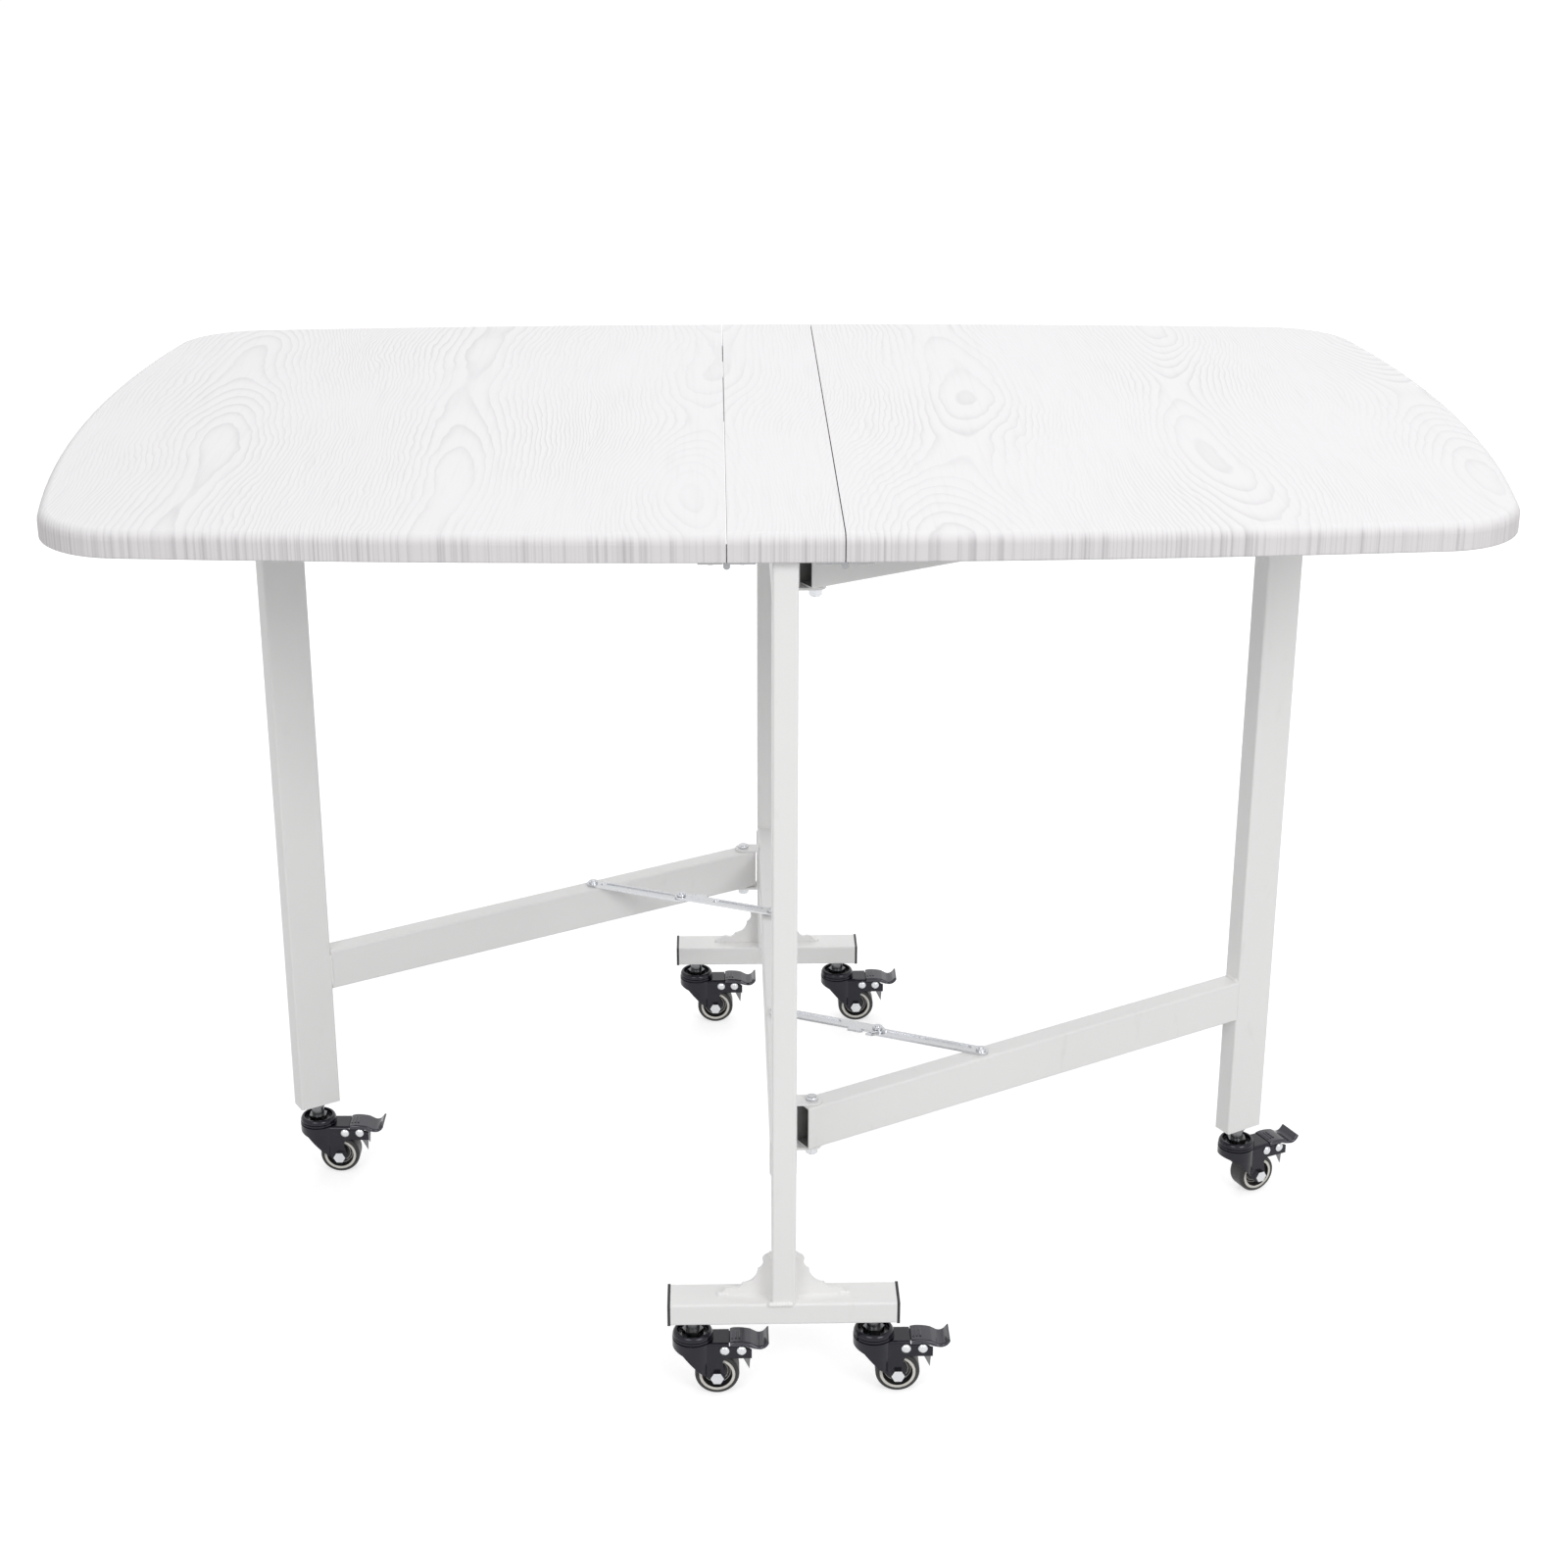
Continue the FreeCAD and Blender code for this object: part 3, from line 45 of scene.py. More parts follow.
slot_of = {row["node"]: row["material_slot"] for row in record["subparts"]}

CASTERS = ("front_right", "front_left", "rear_right", "rear_left", "right_leg", "left_leg")
X, Y, Z = Vector((1, 0, 0)), Vector((0, 1, 0)), Vector((0, 0, 1))


# Node helpers


class Nodes:
    """Adds and links the nodes of one tree."""

    def __init__(self, tree):
        self.tree = tree

    def add(self, kind, links=None, **settings):
        made = self.tree.nodes.new(kind)
        for key, value in settings.items():
            setattr(made, key, value)
        for key, value in (links or {}).items():
            self.feed(made.inputs[key], value)
        return made

    def feed(self, socket, value):
        if isinstance(value, bpy.types.NodeSocket):
            self.tree.links.new(value, socket)
        else:
            socket.default_value = value

    def place(self):
        return self.add("ShaderNodeTexCoord").outputs["Object"]

    def stretch(self, vector, scale, shift=(0, 0, 0)):
        return self.add("ShaderNodeMapping", {"Vector": vector, "Scale": scale, "Location": shift}).outputs[0]

    def noise(self, vector, scale=1.0, detail=3.0, rough=0.5):
        links = {"Vector": vector, "Scale": scale, "Detail": detail, "Roughness": rough}
        return self.add("ShaderNodeTexNoise", links).outputs[0]

    def compute(self, kind, first, second=0.0, clamp=False):
        return self.add("ShaderNodeMath", {0: first, 1: second}, operation=kind, use_clamp=clamp).outputs[0]

    def plus(self, first, second, clamp=False):
        return self.compute("ADD", first, second, clamp)

    def times(self, first, second, clamp=False):
        return self.compute("MULTIPLY", first, second, clamp)

    def swing(self, noise, reach):
        """A noise moved from its mean to zero and scaled."""
        return self.times(self.compute("SUBTRACT", noise, 0.5), reach)

    def spread(self, value, low, high, to_low=0.0, to_high=1.0):
        links = {"Value": value, "From Min": low, "From Max": high, "To Min": to_low, "To Max": to_high}
        return self.add("ShaderNodeMapRange", links, clamp=True).outputs[0]

    def mix(self, share, first, second):
        made = self.add("ShaderNodeMix", {"Factor": share}, data_type="RGBA")
        self.feed(made.inputs["A"], first)
        self.feed(made.inputs["B"], second)
        return made.outputs["Result"]

    def bump(self, height, strength, distance):
        links = {"Height": height, "Strength": strength, "Distance": distance}
        return self.add("ShaderNodeBump", links).outputs[0]

    def seen(self):
        """1 on rays from the camera, from mirrors and through glass, 0 on the rest."""
        path = self.add("ShaderNodeLightPath").outputs
        mirrored = self.compute("MAXIMUM", path["Is Camera Ray"], path["Is Glossy Ray"])
        return self.compute("MAXIMUM", mirrored, path["Is Transmission Ray"])


class Finish(Nodes):
    """One material with its main surface shader."""

    def __init__(self, name):
        self.material = bpy.data.materials.new(name)
        self.material.use_nodes = True
        super().__init__(self.material.node_tree)

    def done(self, **sockets):
        surface = self.tree.nodes["Principled BSDF"]
        for key, value in sockets.items():
            self.feed(surface.inputs[key.replace("_", " ")], value)
        return self.material


def tone(red, green, blue, shade=1.0):
    return (red * shade, green * shade, blue * shade, 1)


# Materials

TRUNK_PITCH = 0.21
TRUNK_SHIFT = 0.055
RING_CLOSING = 7.0
RINGS_PER_METRE = 140.0


def trunk_rings(s, place):
    """Year rings of flat-sawn boards: 0 to 1 across each ring."""
    x = s.add("ShaderNodeSeparateXYZ", {"Vector": place}).outputs["X"]
    # slow sideways wander of the trunk, and a finer tremble of the rings
    wander = s.noise(s.stretch(place, (1.5, 0.8, 0)), scale=1.4, detail=2.0)
    tremble = s.noise(s.stretch(place, (22, 7, 0)), rough=0.6)
    across = s.plus(s.plus(x, s.swing(wander, 0.14)), s.swing(tremble, 0.02))
    # the trunk repeats across the boards; each repeat is one flat-sawn figure
    folded = s.compute("PINGPONG", s.plus(across, TRUNK_SHIFT), TRUNK_PITCH / 2)
    # depth of the cut below the trunk's middle, which changes along the board and closes the figures
    depth = s.noise(s.stretch(place, (1.9, 1.5, 0), (3.1, 0.7, 0)), detail=1.0)
    depth = s.plus(s.swing(depth, 0.2), 0.05)
    radius = s.compute("SQRT", s.plus(s.compute("POWER", folded, 2.0), s.compute("POWER", depth, 2.0)))
    # the outer rings lie closer together
    closer = s.plus(s.times(radius, RING_CLOSING), 1.0)
    return s.compute("FRACT", s.times(s.times(radius, closer), RINGS_PER_METRE))


def wood_film():
    """White film with faint grey flat-sawn grain that runs from front to back and down over the edge."""
    s = Finish("white_wood_film")
    place = s.place()
    # each ring darkens slowly and ends sharply
    rings = trunk_rings(s, place)
    line = s.times(s.compute("POWER", rings, 4.0), s.spread(rings, 1.0, 0.9))
    line = s.times(line, 1.5, clamp=True)
    # the grain fades in places
    cloud = s.noise(s.stretch(place, (3.4, 1.8, 1)), scale=1.6)
    line = s.times(line, s.spread(cloud, 0.34, 0.66, 0.12, 1.0))
    streaks = s.spread(s.noise(s.stretch(place, (260, 9, 0))), 0.5, 0.72)
    # the film is stretched round the edge, where the grain shows more
    normal = s.add("ShaderNodeSeparateXYZ", {"Vector": s.add("ShaderNodeTexCoord").outputs["Normal"]})
    edge = s.spread(s.compute("ABSOLUTE", normal.outputs["Z"]), 0.9, 0.3)
    top_grain = s.plus(s.times(line, 0.36), s.times(streaks, 0.07))
    edge_grain = s.plus(s.times(line, 0.5), s.times(streaks, 0.5), clamp=True)
    grain = s.spread(edge, 0, 1, top_grain, edge_grain)
    film = s.mix(cloud, tone(0.762, 0.753, 0.766), tone(0.788, 0.78, 0.786))
    film = s.mix(edge, film, tone(0.78, 0.76, 0.77))
    return s.done(Base_Color=s.mix(grain, film, tone(0.44, 0.425, 0.44)),
                  Roughness=s.spread(grain, 0, 1, 0.66, 0.76),
                  Normal=s.bump(grain, strength=0.25, distance=-0.0003),
                  Specular_IOR_Level=0.06)


def painted_seam_shade():
    """Dark grey on the boards' edges at the seams, painted shade in the narrow gaps, mottled in coarse flecks.
    """
    s = Finish("painted_seam_shade")
    chips = s.noise(s.stretch(s.place(), (400, 400, 700)))
    return s.done(Base_Color=s.mix(s.spread(chips, 0.3, 0.7), tone(0.10, 0.10, 0.105), tone(0.2, 0.195, 0.19)),
                  Roughness=s.spread(chips, 0.3, 0.7, 0.7, 0.9))


def powder_coat():
    """Off-white powder coat with a fine orange peel, a little duller in places and worn thin here and there."""
    s = Finish("white_powder_coat")
    place = s.place()
    peel = s.noise(place, scale=520.0, detail=2.0)
    cloud = s.noise(place, scale=9.0)
    dust = s.noise(s.stretch(place, (1, 1, 0.35)), scale=60.0, detail=5.0, rough=0.62)
    dust = s.spread(dust, 0.62, 0.78)
    coat = s.mix(cloud, tone(0.87, 0.865, 0.86), tone(0.91, 0.907, 0.90))
    return s.done(Base_Color=s.mix(s.times(dust, 0.25), coat, tone(0.66, 0.65, 0.63)),
                  Roughness=s.plus(s.spread(cloud, 0.3, 0.7, 0.33, 0.43), s.times(dust, 0.1)),
                  Normal=s.bump(peel, strength=0.18, distance=0.0004))


def bare_steel():
    """Dark mill scale inside the tubes, where the powder doesn't reach."""
    s = Finish("bare_steel")
    patches = s.noise(s.place(), scale=60.0, detail=4.0, rough=0.6)
    return s.done(Base_Color=s.mix(patches, tone(0.2, 0.2, 0.2), tone(0.34, 0.335, 0.33)),
                  Roughness=s.spread(patches, 0.3, 0.7, 0.5, 0.7),
                  Metallic=0.3)


def zinc(name, shade):
    """Zinc-plated steel with drawn lines, a bluish and a yellowish cast and dull patches."""
    s = Finish(name)
    place = s.place()
    patches = s.noise(place, scale=70.0, detail=4.0, rough=0.6)
    lines = s.noise(s.stretch(place, (600, 600, 2500)), detail=2.0)
    plate = s.mix(patches, tone(0.58, 0.60, 0.65, shade), tone(0.74, 0.74, 0.73, shade))
    drawn = s.spread(lines, 0.5, 0.9, 0.0, 0.35)
    return s.done(Base_Color=s.mix(drawn, plate, tone(0.42, 0.42, 0.43, shade)),
                  Roughness=s.spread(patches, 0.3, 0.7, 0.2, 0.36),
                  Normal=s.bump(lines, strength=0.12, distance=0.0002),
                  Metallic=1.0)


def black_paint(name, gloss):
    """Glossy blue-black paint on pressed steel, with faint scratches."""
    s = Finish(name)
    place = s.place()
    cloud = s.noise(place, scale=120.0, detail=4.0, rough=0.6)
    scratch = s.spread(s.noise(s.stretch(place, (260, 90, 1500)), rough=0.7), 0.66, 0.8)
    paint = s.mix(cloud, tone(0.003, 0.003, 0.006), tone(0.008, 0.008, 0.013))
    return s.done(Base_Color=s.mix(s.times(scratch, 0.3), paint, tone(0.07, 0.07, 0.078)),
                  Roughness=s.plus(s.spread(cloud, 0.3, 0.7, 0.14, 0.24), s.times(scratch, 0.2)),
                  Normal=s.bump(cloud, strength=0.08, distance=0.0006),
                  Specular_IOR_Level=gloss,
                  Specular_Tint=tone(0.9, 0.9, 1))


def rubber():
    """Black tyre rubber, dusty where it has rolled."""
    s = Finish("black_tyre")
    place = s.place()
    fine = s.noise(place, scale=1400.0)
    cloud = s.noise(place, scale=90.0, detail=4.0, rough=0.6)
    dust = s.spread(cloud, 0.45, 0.8, 0, 0.6)
    return s.done(Base_Color=s.mix(dust, tone(0.012, 0.012, 0.013), tone(0.05, 0.048, 0.046)),
                  Roughness=s.spread(cloud, 0.3, 0.8, 0.38, 0.6),
                  Normal=s.bump(fine, strength=0.2, distance=0.0002))


def plastic(name, low, high, rough_low, rough_high, grain):
    """Moulded plastic with a fine grain and slow changes of tone."""
    s = Finish(name)
    place = s.place()
    cloud = s.noise(place, scale=150.0)
    fine = s.noise(place, scale=1100.0, detail=2.0)
    return s.done(Base_Color=s.mix(cloud, tone(*low), tone(*high)),
                  Roughness=s.spread(cloud, 0.3, 0.7, rough_low, rough_high),
                  Normal=s.bump(fine, strength=grain, distance=0.0003))


materials = {
    "white_board": wood_film(),
    "white_powder_coat": powder_coat(),
    "zinc_steel": zinc("zinc_steel", shade=1.0),
    # a darker copy of the zinc: painted shade on the hinges under the boards
    "shaded_zinc": zinc("shaded_zinc", shade=0.5),
    # the darkest copy of the zinc: partly darker steel, partly painted shade on the brake springs under the
    # pedals and the swivel stems in their cups
    "dark_and_shaded_steel": zinc("dark_and_shaded_steel", shade=0.3),
    "black_paint": black_paint("black_paint", gloss=0.42),
    "pedal_paint": black_paint("pedal_paint", gloss=0.9),
    "black_tyre": rubber(),
    "cream_plastic": plastic("cream_plastic", (0.74, 0.715, 0.66), (0.80, 0.78, 0.73), 0.22, 0.34, 0.08),
    "black_plastic": plastic("black_plastic", (0.012, 0.012, 0.013), (0.03, 0.03, 0.032), 0.38, 0.55, 0.3),
    "hub_dark": plastic("hub_dark", (0.012, 0.012, 0.014), (0.025, 0.024, 0.026), 0.3, 0.45, 0.15),
    # painted shade on the boards' edges in the seams
    "painted_seam_shade": painted_seam_shade(),
    "bare_steel": bare_steel(),
}


# Finishes on the imported nodes

# the last word of a node's name, where its finish isn't that of its slot
# the hinges get the darker zinc, painted shade where they sit under the boards
OWN_FINISH = {"hinges": "shaded_zinc", "pedal": "pedal_paint"}


def dress_nodes():
    for name, node in nodes.items():
        finish = OWN_FINISH.get(name.split("_")[-1], slot_of[name])
        node.data.materials.clear()
        node.data.materials.append(materials[finish])


def face_middle(node, face):
    return node.matrix_world @ face.center


def paint_faces(name, finish, wanted):
    """Give the faces of one node for which wanted(node, face) holds a second finish."""
    node = nodes[name]
    node.data.materials.append(materials[finish])
    chosen = [face for face in node.data.polygons if wanted(node, face)]
    for face in chosen:
        face.material_index = 1


TUBES = ("front_post", "rear_post", "lower_stretcher", "upper_rail", "front_foot_bar", "rear_foot_bar",
         "right_gate_leg", "left_gate_leg", "right_gate_lower_rail", "left_gate_lower_rail",
         "right_gate_upper_rail", "left_gate_upper_rail")
TUBE_REACH = 0.06
OFF_THE_FACE = 0.0002


def paint_tube_insides():
    """A face lies inside a tube if the ray out of it meets the same tube again."""
    for name in TUBES:
        data = nodes[name].data
        spots = [vertex.co for vertex in data.vertices]
        tree = BVHTree.FromPolygons(spots, [tuple(face.vertices) for face in data.polygons])

        def inside(node, face):
            start = face.center + face.normal * OFF_THE_FACE
            return tree.ray_cast(start, face.normal, TUBE_REACH)[0] is not None
        paint_faces(name, "bare_steel", inside)


SEAM = 0.0445
SEAM_NEAR = 0.0006
SEAM_FACING = 0.95


def paint_seams():
    """The boards' straight edges at the seams, just below the film, where they get painted shade."""
    def wanted(node, face):
        facing = abs((node.matrix_world.to_3x3() @ face.normal).x) > SEAM_FACING
        return facing and abs(abs(face_middle(node, face).x) - SEAM) < SEAM_NEAR
    for name in ("centre_panel", "right_leaf", "left_leaf"):
        paint_faces(name, "painted_seam_shade", wanted)


HUB_RIM = 0.0132


def wheel_axis(caster):
    row = joints[f"{caster}_roll"]
    return Vector(row["pos_m"]), Vector(row["axis"]).normalized()


def paint_hubs():
    """A wheel is dark inside its cream rim."""
    for caster in CASTERS:
        middle, axis = wheel_axis(caster)

        def wanted(node, face):
            arm = face_middle(node, face) - middle
            return (arm - axis * arm.dot(axis)).length < HUB_RIM
        paint_faces(f"{caster}_caster_hub", "hub_dark", wanted)


def islands(data):
    """The separate solids of a mesh: for each vertex the number of its solid."""
    owner = list(range(len(data.vertices)))

    def root(index):
        while owner[index] != index:
            owner[index] = owner[owner[index]]
            index = owner[index]
        return index
    for edge in data.edges:
        first, last = (root(index) for index in edge.vertices)
        owner[first] = last
    return [root(index) for index in range(len(owner))]


def paint_solids(name, finish, wanted):
    """Give a second finish to the solids of one node whose lowest and highest points are wanted."""
    data = nodes[name].data
    solid = islands(data)
    low, high = {}, {}
    for vertex in data.vertices:
        height = (nodes[name].matrix_world @ vertex.co).z
        key = solid[vertex.index]
        low[key] = min(height, low.get(key, height))
        high[key] = max(height, high.get(key, height))
    chosen = {key for key in low if wanted(low[key], high[key])}
    paint_faces(name, finish, lambda node, face: solid[face.vertices[0]] in chosen)


# heights that tell a brake spring's foot and a swivel stem's top from the other solids of their nodes
SPRING_FOOT = (0.02, 0.03)
STEM_TOP = 0.1


def paint_dark_and_shaded_steel():
    """The brake springs and the swivel stems are darker than the bolts: partly darker steel, partly painted
    shade under the pedals and inside the swivel cups.
    """
    for caster in CASTERS:
        paint_solids(f"{caster}_caster_fittings", "dark_and_shaded_steel",
                     lambda low, high: SPRING_FOOT[0] < low < SPRING_FOOT[1])
    for name in ("frame_fasteners", "right_gate_fittings", "left_gate_fittings"):
        paint_solids(name, "dark_and_shaded_steel", lambda low, high: high < STEM_TOP)


dress_nodes()
paint_tube_insides()
paint_seams()
paint_hubs()
paint_dark_and_shaded_steel()


# Trim: weld beads, and the thin rings in the wheels


def link_piece(name, vertices, faces, body, finish):
    mesh = bpy.data.meshes.new(name)
    mesh.from_pydata([tuple(v) for v in vertices], [], faces)
    work = bmesh.new()
    work.from_mesh(mesh)
    bmesh.ops.recalc_face_normals(work, faces=work.faces)
    work.to_mesh(mesh)
    work.free()
    for face in mesh.polygons:
        face.use_smooth = True
    mesh.materials.append(materials[finish])
    piece = bpy.data.objects.new(name, mesh)
    bpy.context.scene.collection.objects.link(piece)
    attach(piece, body)


def circle(middle, side, over, radius, count):
    """Points of a circle in the plane of side and over."""
    angles = [2 * math.pi * turn / count for turn in range(count)]
    return [middle + side * math.cos(a) * radius + over * math.sin(a) * radius for a in angles]


def join_circles(faces, first, circles, sides, closed=False):
    """The wall between circles of points that follow each other, from the point numbered first."""
    for number in range(circles if closed else circles - 1):
        here = first + number * sides
        ahead = first + (number + 1) % circles * sides
        for turn in range(sides):
            after = (turn + 1) % sides
            faces.append((here + turn, here + after, ahead + after, ahead + turn))


FOOT_BEAD = 0.0023
SMALL_BEAD = 0.0013
BEAD_STEP = 0.0008
BEAD_SIDES = 9
BEAD_RIPPLE = 0.0026
# shares of a bead's radius: its ripple, its slow swelling and its sway to the side
RIPPLE_SHARE = 0.13
SWELL_SHARE = 0.22
SWAY_SHARE = 0.25
# the slow drift of a bead keeps most of itself at each step
DRIFT_KEPT = 0.8
DRIFT_STEP = 0.2
# how bluntly a bead closes at its ends, and the share of its radius left there
END_POWER = 12
END_LEAST = 0.02
WELD_SEEDS = {"front": 7, "rear": 8, "right": 11, "left": 12}


def bead_mesh(start, end, radius, chance, vertices, faces):
    """A rippled weld bead from start to end, added to the lists of one piece."""
    start, end = Vector(start), Vector(end)
    along = (end - start).normalized()
    side = along.orthogonal().normalized()
    over = along.cross(side)
    count = max(4, int((end - start).length / BEAD_STEP))
    first = len(vertices)
    drift = 0.0
    for step in range(count + 1):
        share = step / count
        drift = DRIFT_KEPT * drift + chance.uniform(-DRIFT_STEP, DRIFT_STEP)
        ripple = math.cos(2 * math.pi * step * BEAD_STEP / BEAD_RIPPLE)
        swell = 1 + RIPPLE_SHARE * ripple + SWELL_SHARE * drift
        closing = math.sqrt(max(0.0, 1 - (2 * share - 1) ** END_POWER)) + END_LEAST
        middle = start.lerp(end, share) + side * radius * SWAY_SHARE * drift
        vertices.extend(circle(middle, side, over, radius * swell * closing, BEAD_SIDES))
    join_circles(faces, first, count + 1, BEAD_SIDES)
    faces.append(tuple(first + turn for turn in range(BEAD_SIDES)))
    faces.append(tuple(first + count * BEAD_SIDES + turn for turn in range(BEAD_SIDES)))


def beads(name, body, lines, seed):
    chance = random.Random(seed)
    vertices, faces = [], []
    for start, end, radius in lines:
        bead_mesh(start, end, radius, chance, vertices, faces)
    link_piece(name, vertices, faces, body, "white_powder_coat")


def reach(name, way):
    """How far a node reaches along a direction: least and most."""
    spots = [(nodes[name].matrix_world @ v.co).dot(way) for v in nodes[name].data.vertices]
    return min(spots), max(spots)


# how far a bead runs past a corner, or stays short of one
PAST_CORNER = 0.004
SHORT_OF_CORNER = 0.002
SHORT_OF_TUBE = 0.003
# the bead at a gusset's tip runs along the foot bar, the one at its top runs up the post
TIP_RUN = (-0.007, 0.004)
TIP_LIFT = 0.0008
TOP_RUN = (-0.006, 0.002)
SIDE_START = 0.997


def post_welds():
    """Each post on its foot bar, the gussets' tips and tops, and the stretcher's ends."""
    foot = reach("front_foot_bar", Z)[1]
    left, right = reach("front_post", X)
    gusset_end = reach("foot_gussets", X)[1]
    gusset_top = reach("foot_gussets", Z)[1]
    low, high = reach("lower_stretcher", Z)
    for end in ("front", "rear"):
        near, far = reach(f"{end}_post", Y)
        outer, inner = (near, far) if end == "front" else (far, near)
        middle = (near + far) / 2
        lines = [
            ((left - PAST_CORNER, outer, foot), (right - SHORT_OF_CORNER, outer, foot), FOOT_BEAD),
            ((left, inner, foot), (right, inner, foot), SMALL_BEAD),
        ]
        for side in (-1, 1):
            tip = side * gusset_end
            wall = side * right
            lines += [
                ((tip + side * TIP_RUN[0], middle, foot + TIP_LIFT), (tip + side * TIP_RUN[1], middle, foot),
                 FOOT_BEAD),
                ((wall, middle, gusset_top + TOP_RUN[0]), (wall, middle, gusset_top + TOP_RUN[1]), FOOT_BEAD),
                ((wall, outer * SIDE_START, foot), (wall, middle, foot), SMALL_BEAD),
                ((wall, inner, low + SHORT_OF_TUBE), (wall, inner, high - SHORT_OF_TUBE), SMALL_BEAD),
            ]
        lines.append(((left + SHORT_OF_CORNER, inner, high), (right - SHORT_OF_CORNER, inner, high),
                      SMALL_BEAD))
        beads(f"{end}_post_welds", "frame", lines, WELD_SEEDS[end])


GATE_ANGLE = 30


def gate_welds():
    """Both rails of each gate on its leg."""
    turn = math.radians(GATE_ANGLE)
    for side, way in (("right", 1), ("left", -1)):
        along = Vector((math.cos(turn), math.sin(turn), 0)) * way
        across = Vector((-math.sin(turn), math.cos(turn), 0)) * way
        inset = across * SHORT_OF_CORNER
        lines = []
        for level in ("lower", "upper"):
            rail = f"{side}_gate_{level}_rail"
            end = along * reach(rail, along)[1]
            near, far = (across * v for v in reach(rail, across))
            low, high = (Z * v for v in reach(rail, Z))
            lines += [
                (end + near + inset + high, end + far - inset + high, FOOT_BEAD),
                (end + near + inset + low, end + far - inset + low, SMALL_BEAD),
                (end + far + low + Z * SHORT_OF_TUBE, end + far + high - Z * SHORT_OF_TUBE, SMALL_BEAD),
            ]
        beads(f"{side}_gate_welds", f"{side}_gate", lines, WELD_SEEDS[side])


RING_RADII = (0.0092, 0.0114)
RING_THICK = 0.00035
RING_STEPS = 48
RING_SIDES = 6
WEB_RADII = (0.008, 0.0128)


def web_height(caster, middle, axis):
    """How far a wheel's dark web stands off the wheel's middle."""
    hub = nodes[f"{caster}_caster_hub"]
    heights = []
    for vertex in hub.data.vertices:
        arm = hub.matrix_world @ vertex.co - middle
        height = arm.dot(axis)
        if WEB_RADII[0] < (arm - axis * height).length < WEB_RADII[1]:
            heights.append(abs(height))
    return min(heights)


def wheel_rings():
    """Two thin raised rings on each face of a wheel's dark web."""
    for caster in CASTERS:
        middle, axis = wheel_axis(caster)
        side = axis.orthogonal().normalized()
        over = axis.cross(side)
        web = web_height(caster, middle, axis)
        vertices, faces = [], []
        for face in (-1, 1):
            outward = axis * face
            for radius in RING_RADII:
                first = len(vertices)
                for spot in circle(Vector(), side, over, 1.0, RING_STEPS):
                    core = middle + spot * radius + outward * web
                    vertices.extend(circle(core, spot, outward, RING_THICK, RING_SIDES))
                join_circles(faces, first, RING_STEPS, RING_SIDES, closed=True)
        link_piece(f"{caster}_wheel_rings", vertices, faces, f"{caster}_wheel", "cream_plastic")


post_welds()
gate_welds()
wheel_rings()


# Studio: a white floor that keeps the table's shadow, a white world and four soft lamps

# the place and angles of the photograph, fitted to the table's edges
PHOTO_SIDE = 1600
FOCAL_PX = 2733.2
SENSOR = 36.0
CAMERA_PLACE = (-0.0529, -2.3007, 1.3272)
CAMERA_PITCH = 21.59
CAMERA_YAW = 1.54
CAMERA_ROLL = 0.14
CAMERA_CLIP = (0.05, 60)

FLOOR_REACH = 30.0
FLOOR_COLOUR = tone(0.6, 0.6, 0.6)
# the floor's lift towards white, near the table and far off, and the distances between which it rises
FLOOR_LIFTS = (0.62, 0.76)
FLOOR_RISE = (1.2, 5.0)
# the world's strength as a light and as it is seen
WORLD_STRENGTHS = (0.49, 1.0)

# name, place, aim, size, watts, whether mirrors show it
LAMPS = (
    ("lamp_above", (0.3, 0.2, 3.2), (0, 0, 0.7), (3.0, 2.4), 34, True),
    ("lamp_right", (2.0, -2.8, 2.3), (0.1, 0, 0.4), (1.6, 1.4), 39, True),
    ("lamp_left", (-1.5, -2.9, 2.6), (-0.1, 0, 0.4), (1.6, 1.4), 27, True),
    ("lamp_back", (0.2, 3.2, 2.4), (0, -0.2, 0.1), (2.6, 0.5), 30, False),
)


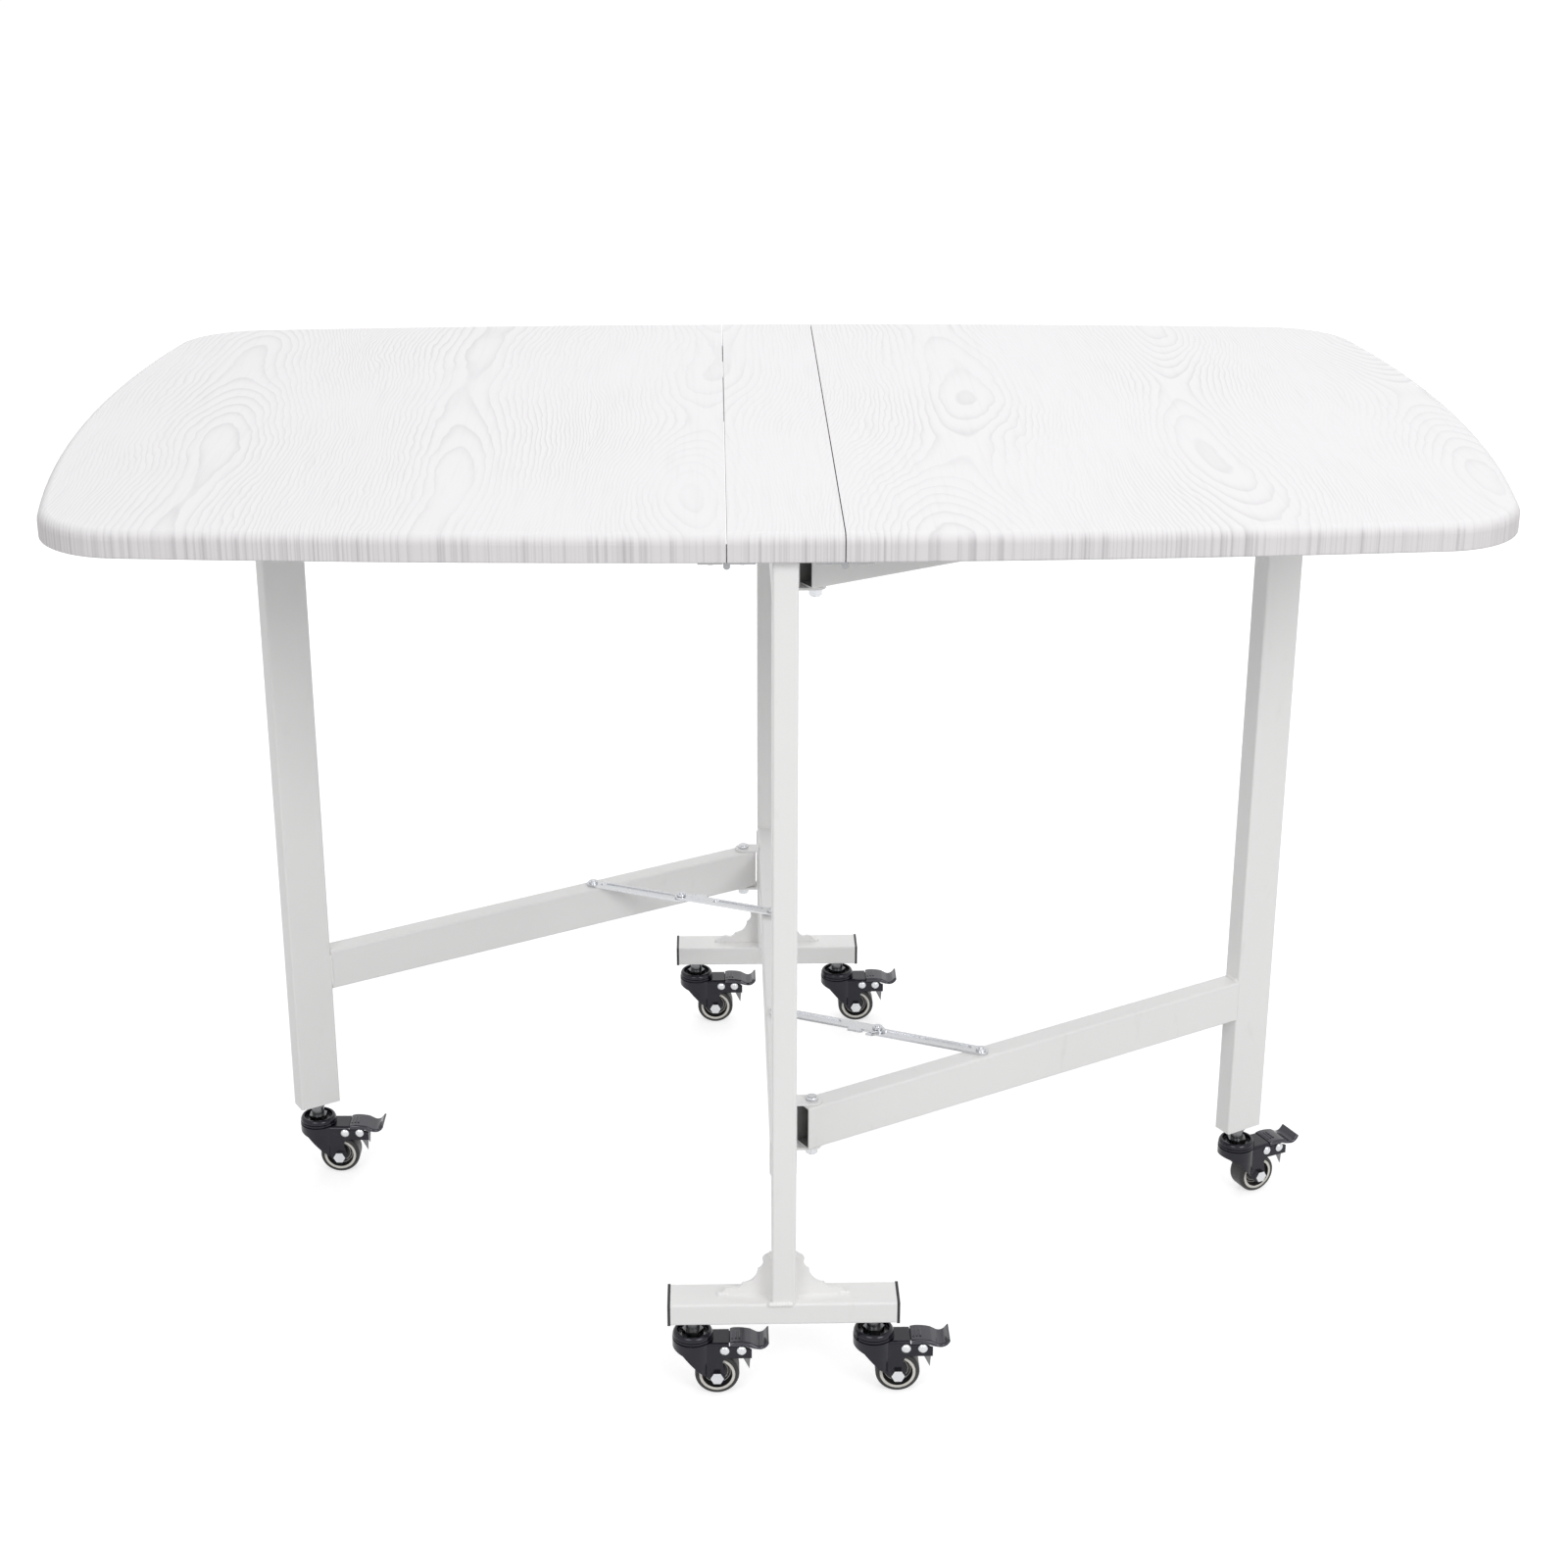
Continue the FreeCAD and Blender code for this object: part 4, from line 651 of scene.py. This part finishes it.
def make_camera():
    pitch, yaw, roll = (math.radians(a) for a in (CAMERA_PITCH, CAMERA_YAW, CAMERA_ROLL))
    ahead = Vector((math.sin(yaw) * math.cos(pitch), math.cos(yaw) * math.cos(pitch), -math.sin(pitch)))
    level = Vector((math.cos(yaw), -math.sin(yaw), 0))
    upright = level.cross(ahead)
    right = level * math.cos(roll) + upright * math.sin(roll)
    up = upright * math.cos(roll) - level * math.sin(roll)
    data = bpy.data.cameras.new("camera")
    data.sensor_width = SENSOR
    data.lens = FOCAL_PX * SENSOR / PHOTO_SIDE
    data.clip_start, data.clip_end = CAMERA_CLIP
    camera = bpy.data.objects.new("camera", data)
    turn = Matrix((right, up, -ahead)).transposed()
    camera.matrix_world = Matrix.Translation(CAMERA_PLACE) @ turn.to_4x4()
    bpy.context.scene.collection.objects.link(camera)
    bpy.context.scene.camera = camera


def floor_material():
    """Seen near white by camera, mirror and glass rays, less the shadow on it, and lifted more far off."""
    material = bpy.data.materials.new("pale_floor")
    material.use_nodes = True
    s = Nodes(material.node_tree)
    s.tree.nodes.remove(s.tree.nodes["Principled BSDF"])
    plain = s.add("ShaderNodeBsdfDiffuse", {"Color": FLOOR_COLOUR})
    away = s.add("ShaderNodeVectorMath", {0: s.place()}, operation="LENGTH").outputs["Value"]
    lift = s.spread(away, *FLOOR_RISE, *FLOOR_LIFTS)
    glow = s.add("ShaderNodeEmission", {"Strength": s.times(s.seen(), lift)})
    both = s.add("ShaderNodeAddShader", {0: plain.outputs[0], 1: glow.outputs[0]})
    s.feed(s.tree.nodes["Material Output"].inputs["Surface"], both.outputs[0])
    return material


def make_floor():
    mesh = bpy.data.meshes.new("floor")
    r = FLOOR_REACH
    mesh.from_pydata([(-r, -r, 0), (r, -r, 0), (r, r, 0), (-r, r, 0)], [], [(0, 1, 2, 3)])
    mesh.materials.append(floor_material())
    floor = bpy.data.objects.new("floor", mesh)
    bpy.context.scene.collection.objects.link(floor)


def make_world():
    world = bpy.data.worlds.new("studio")
    bpy.context.scene.world = world
    world.use_nodes = True
    s = Nodes(world.node_tree)
    back = s.tree.nodes["Background"]
    s.feed(back.inputs["Color"], tone(1, 1, 1))
    s.feed(back.inputs["Strength"], s.spread(s.seen(), 0, 1, *WORLD_STRENGTHS))


def make_lamp(name, place, aim, size, watts, mirrored):
    data = bpy.data.lights.new(name, "AREA")
    data.shape = "RECTANGLE"
    data.size, data.size_y = size
    data.energy = watts
    light = bpy.data.objects.new(name, data)
    light.location = place
    light.visible_glossy = mirrored
    light.rotation_mode = "QUATERNION"
    light.rotation_quaternion = (Vector(aim) - Vector(place)).to_track_quat("-Z", "Y")
    bpy.context.scene.collection.objects.link(light)


make_camera()
make_floor()
make_world()
for row in LAMPS:
    make_lamp(*row)
bpy.context.scene.view_settings.view_transform = "Standard"
